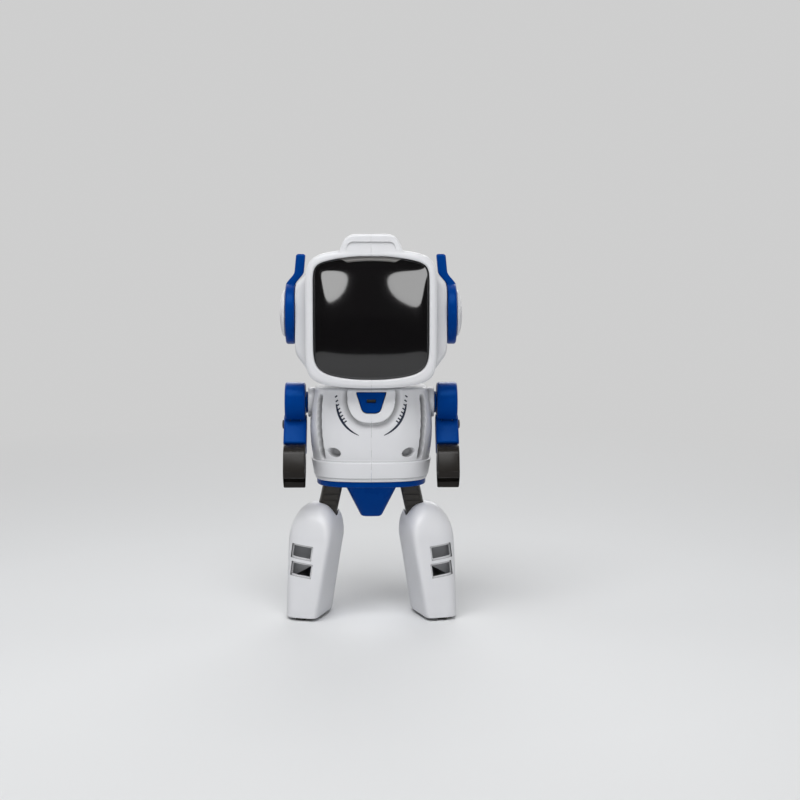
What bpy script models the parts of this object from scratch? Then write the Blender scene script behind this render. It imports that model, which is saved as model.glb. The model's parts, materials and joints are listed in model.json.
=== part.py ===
"""Toy robot: visor helmet, two-half shells, jointed arms with claws, and a drive wheel in each boot.

The robot stands on z = 0 and faces -Y. "Right" and "left" are the robot's own sides, so right is -X.
All sizes are real sizes in metres.
"""

from math import copysign, cos, pi, radians, sin

import bmesh
import bpy
from mathutils import Matrix, Vector

MM = 0.001

# Fits and walls
CLEARANCE = 0.3 * MM
SHELL_WALL = 1.8 * MM
EDGE_SOFTNESS = 0.3
SECTION_POINTS = 24
SMALL_SIDES = 8
PIN_SIDES = 12
ROUND_SIDES = 16
SIDES = (("right", -1), ("left", 1))

# Torso
BELT_LIP_Z = 75.2 * MM
BELT_LIP_HEIGHT = 1.8 * MM
BELT_HEIGHT = 9.0 * MM
TORSO_HEIGHT = 38.5 * MM
TORSO_BULGE_RISE = 17.0 * MM
BELT_LOW_Z = BELT_LIP_Z + BELT_LIP_HEIGHT
BELT_TOP_Z = BELT_LOW_Z + BELT_HEIGHT
TORSO_BULGE_Z = BELT_TOP_Z + TORSO_BULGE_RISE
TORSO_TOP_Z = BELT_TOP_Z + TORSO_HEIGHT
TORSO_TOP_WALL = 2.4 * MM
TORSO_TOP_HALF_WIDTH = 30.4 * MM
TORSO_BULGE_HALF_WIDTH = 32.8 * MM
TORSO_LOW_HALF_WIDTH = 31.2 * MM
TORSO_TOP_HALF_DEPTH = 23.6 * MM
TORSO_BULGE_HALF_DEPTH = 26.2 * MM
TORSO_LOW_HALF_DEPTH = 25.2 * MM
TORSO_ROUND = 1.8 * MM
TORSO_SQUARENESS = 2.7
BELT_PROUD = 1.0 * MM
BELT_TAPER = 1.3 * MM
BELT_LIP_INSET = 0.8 * MM
TORSO_STEPS = 3
TORSO_SCREW_DROP = 15.3 * MM
TORSO_SCREW_RISE = 7.5 * MM
TORSO_HIGH_SCREW = (-7.6 * MM, TORSO_TOP_Z - TORSO_SCREW_DROP)
TORSO_LOW_SCREW = (-6.0 * MM, BELT_TOP_Z + TORSO_SCREW_RISE)
TORSO_SCREW_PLACES = (TORSO_HIGH_SCREW, TORSO_LOW_SCREW)

# Helmet
HEAD_HALF_WIDTH = 34.3 * MM
HEAD_GAP = 1.1 * MM
HEAD_HEIGHT = 72.4 * MM
HEAD_LOW_Z = TORSO_TOP_Z + HEAD_GAP
HEAD_HIGH_Z = HEAD_LOW_Z + HEAD_HEIGHT
HEAD_FRONT_Y = -34.0 * MM
HEAD_BACK_Y = 35.0 * MM
HEAD_SQUARENESS = 7.5
HEAD_BACK_SQUARENESS = 2.8
HEAD_BOW = 3.5 * MM
DOME_START_Y = 4.0 * MM
DOME_FULLNESS = 0.75
DOME_STEPS = (0, 26, 48, 66, 80)
HELMET_SCREW_BACK = 10.0 * MM
HELMET_SCREW_RISE = 8.0 * MM
RIM_DEPTH = 7.5 * MM
RIM_ROUND = 2.4 * MM
RIM_STEP = 1.1 * MM
FRONT_WALL = 4.0 * MM
BROW_HALF_WIDTH = 15.5 * MM
BROW_DROP = 2.2 * MM
BROW_SLANT = 2.0 * MM

# Visor and the eye lamps behind it
RIM_SIDE_WIDTH = 4.4 * MM
RIM_LOW_WIDTH = 4.8 * MM
RIM_HIGH_WIDTH = 4.6 * MM
VISOR_HALF_WIDTH = HEAD_HALF_WIDTH - RIM_SIDE_WIDTH
VISOR_LOW_Z = HEAD_LOW_Z + RIM_LOW_WIDTH
VISOR_HIGH_Z = HEAD_HIGH_Z - RIM_HIGH_WIDTH
VISOR_THICKNESS = 1.6 * MM
VISOR_EDGE_RECESS = 2.0 * MM
VISOR_BULGE = 3.0 * MM
VISOR_FLANGE = 0.9 * MM
VISOR_SQUARENESS = 7.5
VISOR_SCALES = (1.0, 0.8, 0.5, 0.1)
EYE_BOARD_HALF_HEIGHT = 14.0 * MM
EYE_BOARD_THICKNESS = 1.6 * MM
EYE_BOARD_SETBACK = 4.5 * MM
EYE_X = 13.0 * MM
EYE_LAMP_RADIUS = 1.7 * MM
EYE_LAMP_PITCH = 5.0 * MM
EYE_LAMP_HEIGHT = 2.6 * MM
EYE_LAMP_SHOULDER = 1.7 * MM
EYE_PAD_THICKNESS = 0.8 * MM

# Crest on top of the helmet
CREST_HALF_BASE = 16.0 * MM
CREST_HALF_TOP = 13.2 * MM
CREST_HEIGHT = 7.7 * MM
CREST_TOP_Z = HEAD_HIGH_Z + CREST_HEIGHT
CREST_FRONT_Y = -29.0 * MM
CREST_BACK_Y = 8.0 * MM
CREST_ROUND = 3.4 * MM
CREST_FRONT_ROUND = 0.8 * MM
CREST_PANEL_HALF_WIDTH = 11.6 * MM
CREST_BAND = 4.5 * MM
CREST_PANEL_DEPTH = 1.0 * MM

# Side pads, ear discs, fins and ear caps
PAD_HEIGHT = 5.8 * MM
PAD_LOW_MARGIN = 5.8 * MM
PAD_HIGH_MARGIN = 9.8 * MM
PAD_FACE_X = HEAD_HALF_WIDTH + PAD_HEIGHT
PAD_LOW_Z = HEAD_LOW_Z + PAD_LOW_MARGIN
PAD_HIGH_Z = HEAD_HIGH_Z - PAD_HIGH_MARGIN
PAD_CHAMFER_LOW = 11.0 * MM
PAD_CHAMFER_HIGH = 9.0 * MM
PAD_FRONT_Y = -22.0 * MM
PAD_BACK_Y = 16.0 * MM
PAD_CHAMFER_Y = 4.0 * MM
EAR_Y = -3.0 * MM
EAR_RISE = 3.8 * MM
EAR_Z = (PAD_LOW_Z + PAD_HIGH_Z) / 2 + EAR_RISE
EAR_RADIUS = 16.5 * MM
EAR_THICKNESS = 5.0 * MM
EAR_ROUND = 1.0 * MM
EAR_CAP_RADIUS = 12.4 * MM
EAR_CAP_HEIGHT = 3.0 * MM
EAR_CAP_STEPS = (0, 25, 48, 66, 82)
EAR_SPIGOT_RADIUS = 4.0 * MM
EAR_SPIGOT_LENGTH = 4.0 * MM
FIN_DROP = 2.8 * MM
FIN_TOP_Z = HEAD_HIGH_Z - FIN_DROP
FIN_LEAN = 6.0 * MM
FIN_THICKNESS = 4.9 * MM
FIN_BASE_DEPTH = 9.0 * MM
FIN_TOP_DEPTH = 6.5 * MM
FIN_ROUND = 1.4 * MM
FIN_EDGE_ROUND = 0.9 * MM
FIN_TIP_SCALE = 0.75

# Neck
NECK_RADIUS = 10.5 * MM
NECK_FLANGE = 3.0 * MM
NECK_FLANGE_THICKNESS = 2.0 * MM
NECK_COLLAR_RISE = 5.6 * MM

# Chest
BIB_HALF_WIDTH = 12.4 * MM
BIB_DROP = 2.7 * MM
BIB_HEIGHT = 15.0 * MM
BIB_TOP_Z = TORSO_TOP_Z - BIB_DROP
BIB_PROUD = 1.5 * MM
BIB_SQUARENESS = 2.6
WINDOW_TOP_HALF_WIDTH = 8.0 * MM
WINDOW_LOW_HALF_WIDTH = 4.4 * MM
WINDOW_DROP = 1.5 * MM
WINDOW_HEIGHT = 10.9 * MM
WINDOW_TOP_Z = TORSO_TOP_Z - WINDOW_DROP
WINDOW_LOW_Z = WINDOW_TOP_Z - WINDOW_HEIGHT
WINDOW_PROUD = 0.5 * MM
WINDOW_ROUND = 1.4 * MM
WINDOW_POCKET = 4.5 * MM
RECEIVER_DROP = 4.6 * MM
RECEIVER_Z = WINDOW_TOP_Z - RECEIVER_DROP
RECEIVER_HALF_WIDTH = 2.5 * MM
RECEIVER_HALF_HEIGHT = 0.9 * MM
RECEIVER_DEPTH = 4.0 * MM
RECEIVER_RECESS = 0.7 * MM
GROOVE_TOP_X = 26.8 * MM
GROOVE_LOW_X = 25.4 * MM
GROOVE_BOW = 1.4 * MM
GROOVE_WIDTH = 1.6 * MM
GROOVE_DEPTH = 1.0 * MM
GROOVE_DROP = 3.5 * MM
GROOVE_RISE = 1.6 * MM
GROOVE_TOP_Z = TORSO_TOP_Z - GROOVE_DROP
GROOVE_LOW_Z = BELT_TOP_Z + GROOVE_RISE
GROOVE_STEPS = 4
DIMPLE_X = 19.7 * MM
DIMPLE_RISE = 5.0 * MM
DIMPLE_Z = BELT_TOP_Z + DIMPLE_RISE
DIMPLE_HALF_WIDTH = 3.3 * MM
DIMPLE_HALF_HEIGHT = 2.1 * MM

# Electrics and battery compartment
DOOR_HALF_WIDTH = 19.0 * MM
DOOR_RISE = 1.5 * MM
DOOR_HEIGHT = 28.0 * MM
DOOR_LOW_Z = BELT_TOP_Z + DOOR_RISE
DOOR_HIGH_Z = DOOR_LOW_Z + DOOR_HEIGHT
DOOR_THICKNESS = 1.5 * MM
DOOR_ROUND = 2.0 * MM
DOOR_SCREW_RISE = 4.5 * MM
DOOR_SCREW_SINK = 2.4 * MM
CELL_RADIUS = 5.25 * MM
CELL_LENGTH = 44.5 * MM
CELL_COUNT = 3
CELL_WALL = 1.2 * MM
BATTERY_BACK_Y = 14.8 * MM
BATTERY_FOOT_WIDTH = 5.0 * MM
BOARD_HALF_WIDTH = 21.0 * MM
BOARD_THICKNESS = 1.6 * MM
CHIP_HALF_SIZE = 5.0 * MM
CHIP_HEIGHT = 1.4 * MM
SPEAKER_RADIUS = 11.0 * MM
SPEAKER_HEIGHT = 4.4 * MM
SPEAKER_RIM_HEIGHT = 1.2 * MM
SPEAKER_MAGNET_RADIUS = 7.8 * MM
SPEAKER_CONE_RADIUS = 3.9 * MM
SPEAKER_CONE_DEPTH = 0.9 * MM
SWITCH_X = 5.0 * MM
SWITCH_DROP = 3.0 * MM
SWITCH_Z = BELT_TOP_Z - SWITCH_DROP
SWITCH_TRAVEL = 3.0 * MM
SWITCH_KNOB_HALF_WIDTH = 1.6 * MM
SWITCH_KNOB_HALF_HEIGHT = 1.5 * MM
SWITCH_KNOB_PROUD = 0.6 * MM
SWITCH_BODY_DEPTH = 4.0 * MM

# Screws
SCREW_HEAD_RADIUS = 1.9 * MM
SCREW_HEAD_HEIGHT = 1.5 * MM
SCREW_RADIUS = 1.0 * MM
SCREW_LENGTH = 11.0 * MM
SCREW_BOSS_RADIUS = 3.4 * MM
SCREW_SEAT_X = 5.0 * MM

# Arms
SHOULDER_DROP = 9.0 * MM
SHOULDER_Z = TORSO_TOP_Z - SHOULDER_DROP
SHOULDER_BOSS_RADIUS = 8.0 * MM
SHOULDER_BOSS_HEIGHT = 1.0 * MM
SHOULDER_SEAT_INSET = 1.1 * MM
SHOULDER_BOSS_FACE_X = TORSO_BULGE_HALF_WIDTH + SHOULDER_BOSS_HEIGHT
SHOULDER_SEAT_X = TORSO_TOP_HALF_WIDTH - SHELL_WALL - SHOULDER_SEAT_INSET
SHOULDER_DISC_THICKNESS = 0.9 * MM
SHOULDER_DISC_RADIUS = 5.8 * MM
SHOULDER_AXLE_RADIUS = 3.0 * MM
SHOULDER_CLIP_THICKNESS = 1.4 * MM
SHOULDER_CLIP_RADIUS = 5.2 * MM
HUB_RADIUS = 10.8 * MM
HUB_WIDTH = 11.0 * MM
UPPER_ARM_LENGTH = 12.0 * MM
KNUCKLE_RADIUS = 5.6 * MM
TONGUE_WIDTH = 5.4 * MM
ELBOW_RELIEF = 1.4 * MM
ELBOW_PIN_RADIUS = 1.6 * MM
ELBOW_PIN_HEAD_RADIUS = 2.4 * MM
ELBOW_PIN_HEAD_HEIGHT = 0.8 * MM
ELBOW_REST_ANGLE = radians(40)
FOREARM_WIDTH = 12.2 * MM
FOREARM_LENGTH = 16.0 * MM
FOREARM_END_DEPTH = 12.6 * MM
ARM_ROUND = 0.9 * MM
CLAW_RADIUS = 9.8 * MM
CLAW_WIDTH = 11.6 * MM
CLAW_REACH = 24.4 * MM
CLAW_SLOT_WIDTH = 6.2 * MM
CLAW_SLOT_FLOOR = 1.6 * MM
CLAW_TIP_REACH = 12.2 * MM
CLAW_TIP_WIDTH = 3.0 * MM
WRIST_RADIUS = 3.2 * MM
WRIST_LENGTH = 6.0 * MM

# Pelvis and legs
PELVIS_RIM_INSET = 0.8 * MM
PELVIS_RIM_THICKNESS = 2.9 * MM
PELVIS_SPIGOT_HEIGHT = 5.0 * MM
CROTCH_TOP_HALF_WIDTH = 14.5 * MM
CROTCH_TOP_HALF_DEPTH = 14.0 * MM
CROTCH_LOW_HALF_WIDTH = 5.5 * MM
CROTCH_LOW_HALF_DEPTH = 7.0 * MM
CROTCH_HEIGHT = 18.0 * MM
LEG_TOP_X = 20.6 * MM
LEG_LOW_X = 30.0 * MM
LEG_HALF_WIDTH = 5.4 * MM
LEG_HALF_DEPTH = 9.4 * MM
LEG_LOW_HALF_DEPTH = 7.2 * MM
LEG_SQUARENESS = 5.0
LEG_RIB_COUNT = 4
LEG_RIB_PITCH = 3.4 * MM
LEG_RIB_DEPTH = 0.9 * MM
LEG_RIB_TOP_DROP = 5.0 * MM
LEG_SCREW_DROP = 21.0 * MM
LEG_SCREW_SINK = 2.4 * MM
LEG_SCREW_LENGTH = 7.0 * MM
BOOT_ENTRY_CLEARANCE = 0.6 * MM

# Boots, soles and drive
BOOT_X = 33.2 * MM
BOOT_Y = -2.0 * MM
BOOT_TOP_Z = 62.5 * MM
BOOT_LOW_Z = 1.6 * MM
BOOT_WIDEST_Z = 43.0 * MM
BOOT_HALF_WIDTH = 13.0 * MM
BOOT_SOLE_HALF_WIDTH = 9.8 * MM
BOOT_HALF_LENGTH = 17.6 * MM
BOOT_TOE_LENGTH = 20.2 * MM
BOOT_HEEL_LENGTH = 17.0 * MM
BOOT_TOP_LEAN = 5.4 * MM
BOOT_SQUARENESS = 3.0
BOOT_STEPS = 2
BOOT_DOME_STEPS = (25, 48, 66, 81)
BOOT_DOME_FULLNESS = 0.85
BOOT_TOE_OUT = radians(17)
VENT_HALF_WIDTH = 5.3 * MM
VENT_HALF_HEIGHT = 3.0 * MM
VENT_LOW_Z = 27.6 * MM
VENT_PITCH = 9.4 * MM
VENT_COUNT = 2
VENT_SLANT = radians(7)
VENT_SHIFT = 1.2 * MM
SOLE_THICKNESS = 2.0 * MM
SKID_HALF_SIZE = 2.6 * MM
SKID_PLACES = (-14.4 * MM, 11.9 * MM)
WHEEL_RADIUS = 9.0 * MM
WHEEL_WIDTH = 5.0 * MM
TYRE_THICKNESS = 2.2 * MM
AXLE_RADIUS = 1.2 * MM
WHEEL_SLOT_GAP = 0.8 * MM
GEARBOX_WIDTH = 4.0 * MM
GEARBOX_HALF_LENGTH = 6.0 * MM
GEARBOX_SHIFT_Y = 4.0 * MM
GEARBOX_HEIGHT = 15.0 * MM
MOTOR_RADIUS = 4.6 * MM
MOTOR_LENGTH = 13.0 * MM


def clear_scene():
    """Start from an empty scene."""
    for item in list(bpy.data.objects):
        bpy.data.objects.remove(item, do_unlink=True)


def plastic(name, colour, roughness, metallic=0.0):
    """Make one Principled material."""
    material = bpy.data.materials.new(name)
    material.use_nodes = True
    shader = material.node_tree.nodes["Principled BSDF"]
    shader.inputs["Base Color"].default_value = (*colour, 1.0)
    shader.inputs["Roughness"].default_value = roughness
    shader.inputs["Metallic"].default_value = metallic
    return material


def to_object(name, mesh):
    """Turn a bmesh into a linked object with outward faces."""
    bmesh.ops.recalc_face_normals(mesh, faces=mesh.faces)
    data = bpy.data.meshes.new(name)
    mesh.to_mesh(data)
    mesh.free()
    item = bpy.data.objects.new(name, data)
    bpy.context.collection.objects.link(item)
    return item


def pivot(name, location, parent=None, rotation=(0.0, 0.0, 0.0)):
    """Make an empty that stands on a joint axis."""
    item = bpy.data.objects.new(name, None)
    item.location = location
    item.rotation_euler = rotation
    item.parent = parent
    bpy.context.collection.objects.link(item)
    return item


def superellipse(half_a, half_b, exponent, count=SECTION_POINTS):
    """Points of one superellipse round (0, 0), half a step off the axes and closer at its corners."""
    points = []
    for step in range(count):
        angle = 2 * pi * (step + 0.5) / count
        a, b = abs(cos(angle)) ** (2 / exponent) ** 0.5, abs(sin(angle)) ** (2 / exponent) ** 0.5
        reach = (a ** exponent + b ** exponent) ** (-1 / exponent)
        points.append((half_a * copysign(a * reach, cos(angle)), half_b * copysign(b * reach, sin(angle))))
    return points


def upright_ring(y, half_width, low, high, exponent):
    """A superellipse that stands across Y."""
    middle, half_height = (low + high) / 2, (high - low) / 2
    return [(a, y, middle + b) for a, b in superellipse(half_width, half_height, exponent)]


def level_ring(z, half_width, half_depth, exponent, x=0.0, y=0.0):
    """A superellipse that lies level."""
    return [(x + a, y + b, z) for a, b in superellipse(half_width, half_depth, exponent)]


def loft(name, rings):
    """Skin a row of rings and cap both ends."""
    mesh = bmesh.new()
    loops = [[mesh.verts.new(point) for point in ring] for ring in rings]
    for near, far in zip(loops, loops[1:]):
        for index in range(len(near)):
            following = (index + 1) % len(near)
            mesh.faces.new((near[index], near[following], far[following], far[index]))
    mesh.faces.new(reversed(loops[0]))
    mesh.faces.new(loops[-1])
    bmesh.ops.triangulate(mesh, faces=[face for face in mesh.faces if len(face.verts) == 4])
    return to_object(name, mesh)


def prism(name, outline, across, low, high, rounding=0.0):
    """Extrude a flat outline along axis 0, 1 or 2 and round its long edges' ends."""
    mesh = bmesh.new()
    corners = []
    for a, b in outline:
        point = [a, b]
        point.insert(across, low)
        corners.append(mesh.verts.new(point))
    face = mesh.faces.new(corners)
    step = Vector((0.0, 0.0, 0.0))
    step[across] = high - low
    grown = bmesh.ops.extrude_face_region(mesh, geom=[face])
    moved = [v for v in grown["geom"] if isinstance(v, bmesh.types.BMVert)]
    bmesh.ops.translate(mesh, verts=moved, vec=step)
    bmesh.ops.recalc_face_normals(mesh, faces=mesh.faces)
    if rounding:
        rims = [edge for edge in mesh.edges if edge.calc_face_angle(0.0) > radians(60)]
        bmesh.ops.bevel(mesh, geom=rims, offset=rounding, segments=1, profile=0.5, affect="EDGES")
    return to_object(name, mesh)


def block(name, low, high):
    """A box between two corners."""
    outline = ((low[0], low[1]), (high[0], low[1]), (high[0], high[1]), (low[0], high[1]))
    return prism(name, outline, 2, low[2], high[2])


def rod(name, across, centre, radius, low, high, sides=ROUND_SIDES):
    """A round bar along axis 0, 1 or 2 through a centre given in the other two axes."""
    outline = [(centre[0] + a, centre[1] + b) for a, b in superellipse(radius, radius, 2.0, sides)]
    return prism(name, outline, across, low, high)


def turned(name, profile, across, centre, sides=ROUND_SIDES):
    """Turn a profile of (radius, height) steps about axis 0, 1 or 2."""
    rings = []
    for radius, height in profile:
        ring = []
        for a, b in superellipse(radius, radius, 2.0, sides):
            point = [centre[0] + a, centre[1] + b]
            point.insert(across, height)
            ring.append(point)
        rings.append(ring)
    return loft(name, rings)


def boolean(target, operation, *tools):
    """Join, cut or trim a target with tools, which are used up."""
    for tool in tools:
        change = target.modifiers.new(operation.lower(), "BOOLEAN")
        change.operation = operation
        change.object = tool
        bpy.context.view_layer.update()
        evaluated = target.evaluated_get(bpy.context.evaluated_depsgraph_get())
        result = bpy.data.meshes.new_from_object(evaluated)
        target.modifiers.clear()
        target.data = result
        bpy.data.objects.remove(tool, do_unlink=True)
    return target


def copy_of(item, name):
    """A separate copy of an object and its mesh."""
    twin = item.copy()
    twin.data = item.data.copy()
    twin.name = name
    bpy.context.collection.objects.link(twin)
    return twin


def dress(item, material, parent=None):
    """Give a finished piece its material, its parent and smooth round faces."""
    item.data.materials.clear()
    item.data.materials.append(material)
    item.data.shade_smooth()
    item.data.set_sharp_from_angle(angle=radians(32))
    if parent:
        item.parent = parent
    return item


def split_halves(name, whole, material):
    """Split a shell at its middle seam into a right and a left half."""
    reach = 2 * PAD_FACE_X
    top = CREST_TOP_Z + reach
    halves = []
    for side_name, side in SIDES:
        half = copy_of(whole, f"{name}_{side_name}_half")
        near, far = sorted((side * CLEARANCE / 2, side * reach))
        boolean(half, "INTERSECT", block("half_space", (near, -reach, -reach), (far, reach, top)))
        halves.append(dress(half, material))
    bpy.data.objects.remove(whole, do_unlink=True)
    return halves


def rounded(corners, radius, steps=4):
    """An outline with each corner drawn as a short curve."""
    points = []
    for index, corner in enumerate(corners):
        here = Vector(corner)
        before = Vector(corners[index - 1])
        after = Vector(corners[(index + 1) % len(corners)])
        start = here + (before - here).normalized() * radius
        end = here + (after - here).normalized() * radius
        for step in range(steps + 1):
            share = step / steps
            point = start * (1 - share) ** 2 + here * 2 * share * (1 - share) + end * share ** 2
            points.append((point.x, point.y))
    return points


def bowed_ring(y, half_width, low, high, exponent, bow):
    """An upright ring whose top and bottom edges are arched by a bow."""
    middle, half_height = (low + high) / 2, (high - low) / 2
    ring = []
    for x, _, z in upright_ring(y, half_width, low, high, exponent):
        arch = bow * (x / half_width) ** 2 * (z - middle) / half_height
        ring.append((x, y, z - arch))
    return ring


def helmet_ring(y, draw_in, scale=1.0, exponent=HEAD_SQUARENESS):
    """One helmet section, drawn in all round and then scaled about its middle."""
    middle = (HEAD_LOW_Z + HEAD_HIGH_Z) / 2
    half_height = ((HEAD_HIGH_Z - HEAD_LOW_Z) / 2 - draw_in) * scale
    half_width = (HEAD_HALF_WIDTH - draw_in) * scale
    return bowed_ring(y, half_width, middle - half_height, middle + half_height, exponent, HEAD_BOW * scale)


def dome_rings(draw_in, back_wall):
    """The helmet's rounded back."""
    rings = []
    last = sin(radians(DOME_STEPS[-1]))
    for degrees in DOME_STEPS:
        turn = radians(degrees)
        share = sin(turn) / last
        y = DOME_START_Y + (HEAD_BACK_Y - back_wall - DOME_START_Y) * share
        exponent = HEAD_SQUARENESS + (HEAD_BACK_SQUARENESS - HEAD_SQUARENESS) * share
        rings.append(helmet_ring(y, draw_in, cos(turn) ** DOME_FULLNESS, exponent))
    return rings


def helmet_outside():
    """The helmet's outer form with its proud rim."""
    rim_back = HEAD_FRONT_Y + RIM_DEPTH
    soft = EDGE_SOFTNESS * RIM_ROUND
    rings = [
        helmet_ring(HEAD_FRONT_Y, RIM_ROUND),
        helmet_ring(HEAD_FRONT_Y + soft, soft),
        helmet_ring(HEAD_FRONT_Y + RIM_ROUND, 0.0),
        helmet_ring(rim_back - RIM_STEP, 0.0),
        helmet_ring(rim_back, RIM_STEP),
    ]
    return loft("helmet", rings + dome_rings(RIM_STEP, 0.0))


def helmet_inside():
    """The hollow of the helmet, with the screw bosses left standing."""
    draw_in = RIM_STEP + SHELL_WALL
    front = helmet_ring(HEAD_FRONT_Y + FRONT_WALL, draw_in)
    hollow = loft("hollow", [front] + dome_rings(draw_in, SHELL_WALL))
    for place in helmet_screw_places():
        boss = rod("boss", 0, place, SCREW_BOSS_RADIUS, -PAD_FACE_X, PAD_FACE_X, SMALL_SIDES)
        boolean(hollow, "DIFFERENCE", boss)
    return hollow


def helmet_screw_places():
    """The (y, z) places of the helmet screws, under the right ear disc."""
    return [(EAR_Y + HELMET_SCREW_BACK, EAR_Z + rise) for rise in (-HELMET_SCREW_RISE, HELMET_SCREW_RISE)]


def side_pad(side):
    """The chamfered pad that carries an ear."""
    base_x = HEAD_HALF_WIDTH - RIM_STEP - SHELL_WALL
    rings = []
    for x, share in ((base_x, 0.0), (PAD_FACE_X, 1.0)):
        front, back = PAD_FRONT_Y + share * PAD_CHAMFER_Y, PAD_BACK_Y - share * PAD_CHAMFER_Y
        low, high = PAD_LOW_Z + share * PAD_CHAMFER_LOW, PAD_HIGH_Z - share * PAD_CHAMFER_HIGH
        corners = ((front, low), (back, low), (back, high), (front, high))
        rings.append([(side * x, y, z) for y, z in rounded(corners, PAD_CHAMFER_Y)])
    return loft("pad", rings)


def crest():
    """The raised crest on top of the helmet."""
    base_z = HEAD_HIGH_Z - RIM_STEP - SHELL_WALL - CREST_ROUND
    slope = (CREST_HALF_BASE - CREST_HALF_TOP) / (CREST_TOP_Z - HEAD_HIGH_Z)
    half_base, half_top = CREST_HALF_BASE + slope * (HEAD_HIGH_Z - base_z), CREST_HALF_TOP
    corners = ((-half_base, base_z), (half_base, base_z), (half_top, CREST_TOP_Z), (-half_top, CREST_TOP_Z))
    body = prism("crest", rounded(corners, CREST_ROUND), 1, CREST_FRONT_Y, CREST_BACK_Y, CREST_FRONT_ROUND)
    low = (-CREST_PANEL_HALF_WIDTH, CREST_FRONT_Y - CREST_ROUND, HEAD_HIGH_Z - RIM_STEP)
    high = (CREST_PANEL_HALF_WIDTH, CREST_FRONT_Y + CREST_PANEL_DEPTH, CREST_TOP_Z - CREST_BAND)
    return boolean(body, "DIFFERENCE", block("panel", low, high))


def brow():
    """The small lip that hangs over the top of the visor."""
    half_height = (VISOR_HIGH_Z - VISOR_LOW_Z) / 2
    low = VISOR_HIGH_Z - BROW_DROP
    swell = VISOR_BULGE * (1 - (1 - BROW_DROP / half_height) ** 2)
    back = HEAD_FRONT_Y + VISOR_EDGE_RECESS - swell - CLEARANCE
    front = HEAD_FRONT_Y + CLEARANCE
    high = VISOR_HIGH_Z + BROW_DROP
    low_half = BROW_HALF_WIDTH - BROW_SLANT
    corners = ((-low_half, low), (low_half, low), (BROW_HALF_WIDTH, high), (-BROW_HALF_WIDTH, high))
    return prism("brow", corners, 1, front, back)


def visor_ring(y, grow, scale=1.0):
    """One ring of the visor outline, grown all round and scaled about its middle."""
    middle = (VISOR_LOW_Z + VISOR_HIGH_Z) / 2
    half_height = ((VISOR_HIGH_Z - VISOR_LOW_Z) / 2 + grow) * scale
    half_width = (VISOR_HALF_WIDTH + grow) * scale
    low, high = middle - half_height, middle + half_height
    return bowed_ring(y, half_width, low, high, VISOR_SQUARENESS, HEAD_BOW * scale)


def make_helmet(white):
    """The helmet shell: rim, pads, crest and brow, split at the middle seam."""
    shell = boolean(helmet_outside(), "UNION", side_pad(-1), side_pad(1), crest())
    boolean(shell, "DIFFERENCE", helmet_inside())
    front = visor_ring(HEAD_FRONT_Y - RIM_DEPTH, CLEARANCE)
    back = visor_ring(HEAD_FRONT_Y + FRONT_WALL + CLEARANCE, CLEARANCE)
    boolean(shell, "DIFFERENCE", loft("visor_opening", [front, back]))
    boolean(shell, "UNION", brow(), neck_collar())
    neck_hole = rod("neck_hole", 2, (0.0, 0.0), NECK_RADIUS + CLEARANCE, BELT_TOP_Z, HEAD_LOW_Z + RIM_DEPTH)
    boolean(shell, "DIFFERENCE", neck_hole)
    for _, side in SIDES:
        floor = PAD_FACE_X - EAR_SPIGOT_LENGTH - CLEARANCE
        near, far = sorted((side * floor, side * (PAD_FACE_X + RIM_STEP)))
        socket = rod("socket", 0, (EAR_Y, EAR_Z), EAR_SPIGOT_RADIUS + CLEARANCE, near, far)
        boolean(shell, "DIFFERENCE", socket)
    bore_for_screws(shell, helmet_screw_places(), PAD_FACE_X)
    return split_halves("helmet", shell, white)


def neck_seat():
    """The height of the collar that rests under the neck post's upper flange."""
    return HEAD_LOW_Z + NECK_COLLAR_RISE


def neck_collar():
    """The collar in the helmet's floor that turns on the neck post."""
    outer = NECK_RADIUS + NECK_FLANGE + CLEARANCE
    collar = rod("collar", 2, (0.0, 0.0), outer, HEAD_LOW_Z, neck_seat())
    return boolean(collar, "INTERSECT", helmet_outside())


def bore_for_screws(shell, places, outside_x):
    """Counterbore the right half and drill the left half for screws along X."""
    for place in places:
        head = SCREW_HEAD_RADIUS + CLEARANCE
        outside = -outside_x - MM
        boolean(shell, "DIFFERENCE", rod("head_bore", 0, place, head, outside, -SCREW_SEAT_X, SMALL_SIDES))
        shank = SCREW_RADIUS + CLEARANCE
        end = SCREW_LENGTH - SCREW_SEAT_X + CLEARANCE
        boolean(shell, "DIFFERENCE", rod("shank_bore", 0, place, shank, -SCREW_SEAT_X - MM, end, SMALL_SIDES))


def make_screws(name, places, steel):
    """Screws along X, which hold two shell halves together."""
    seat = -SCREW_SEAT_X - CLEARANCE
    profile = (
        (SCREW_HEAD_RADIUS, seat - SCREW_HEAD_HEIGHT),
        (SCREW_HEAD_RADIUS, seat),
        (SCREW_RADIUS, seat),
        (SCREW_RADIUS, seat + SCREW_LENGTH),
    )
    for index, place in enumerate(places, 1):
        dress(turned(f"{name}_{index}", profile, 0, place, SMALL_SIDES), steel)


def make_visor(gloss):
    """The bulged visor, with a flange that holds it behind the rim."""
    edge = HEAD_FRONT_Y + VISOR_EDGE_RECESS
    flange = HEAD_FRONT_Y + FRONT_WALL + CLEARANCE
    rings = []
    for scale in VISOR_SCALES:
        rings.append(visor_ring(edge - VISOR_BULGE * (1 - scale ** 2), 0.0, scale))
    rings.reverse()
    rings += [visor_ring(flange, 0.0), visor_ring(flange, VISOR_FLANGE)]
    back = flange + VISOR_THICKNESS
    rings += [visor_ring(back, VISOR_FLANGE), visor_ring(back, -VISOR_FLANGE)]
    for scale in VISOR_SCALES:
        depth = VISOR_BULGE * (1 - scale ** 2)
        rings.append(visor_ring(edge + VISOR_THICKNESS - depth, -VISOR_FLANGE, scale))
    return dress(loft("visor", rings), gloss)


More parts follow.
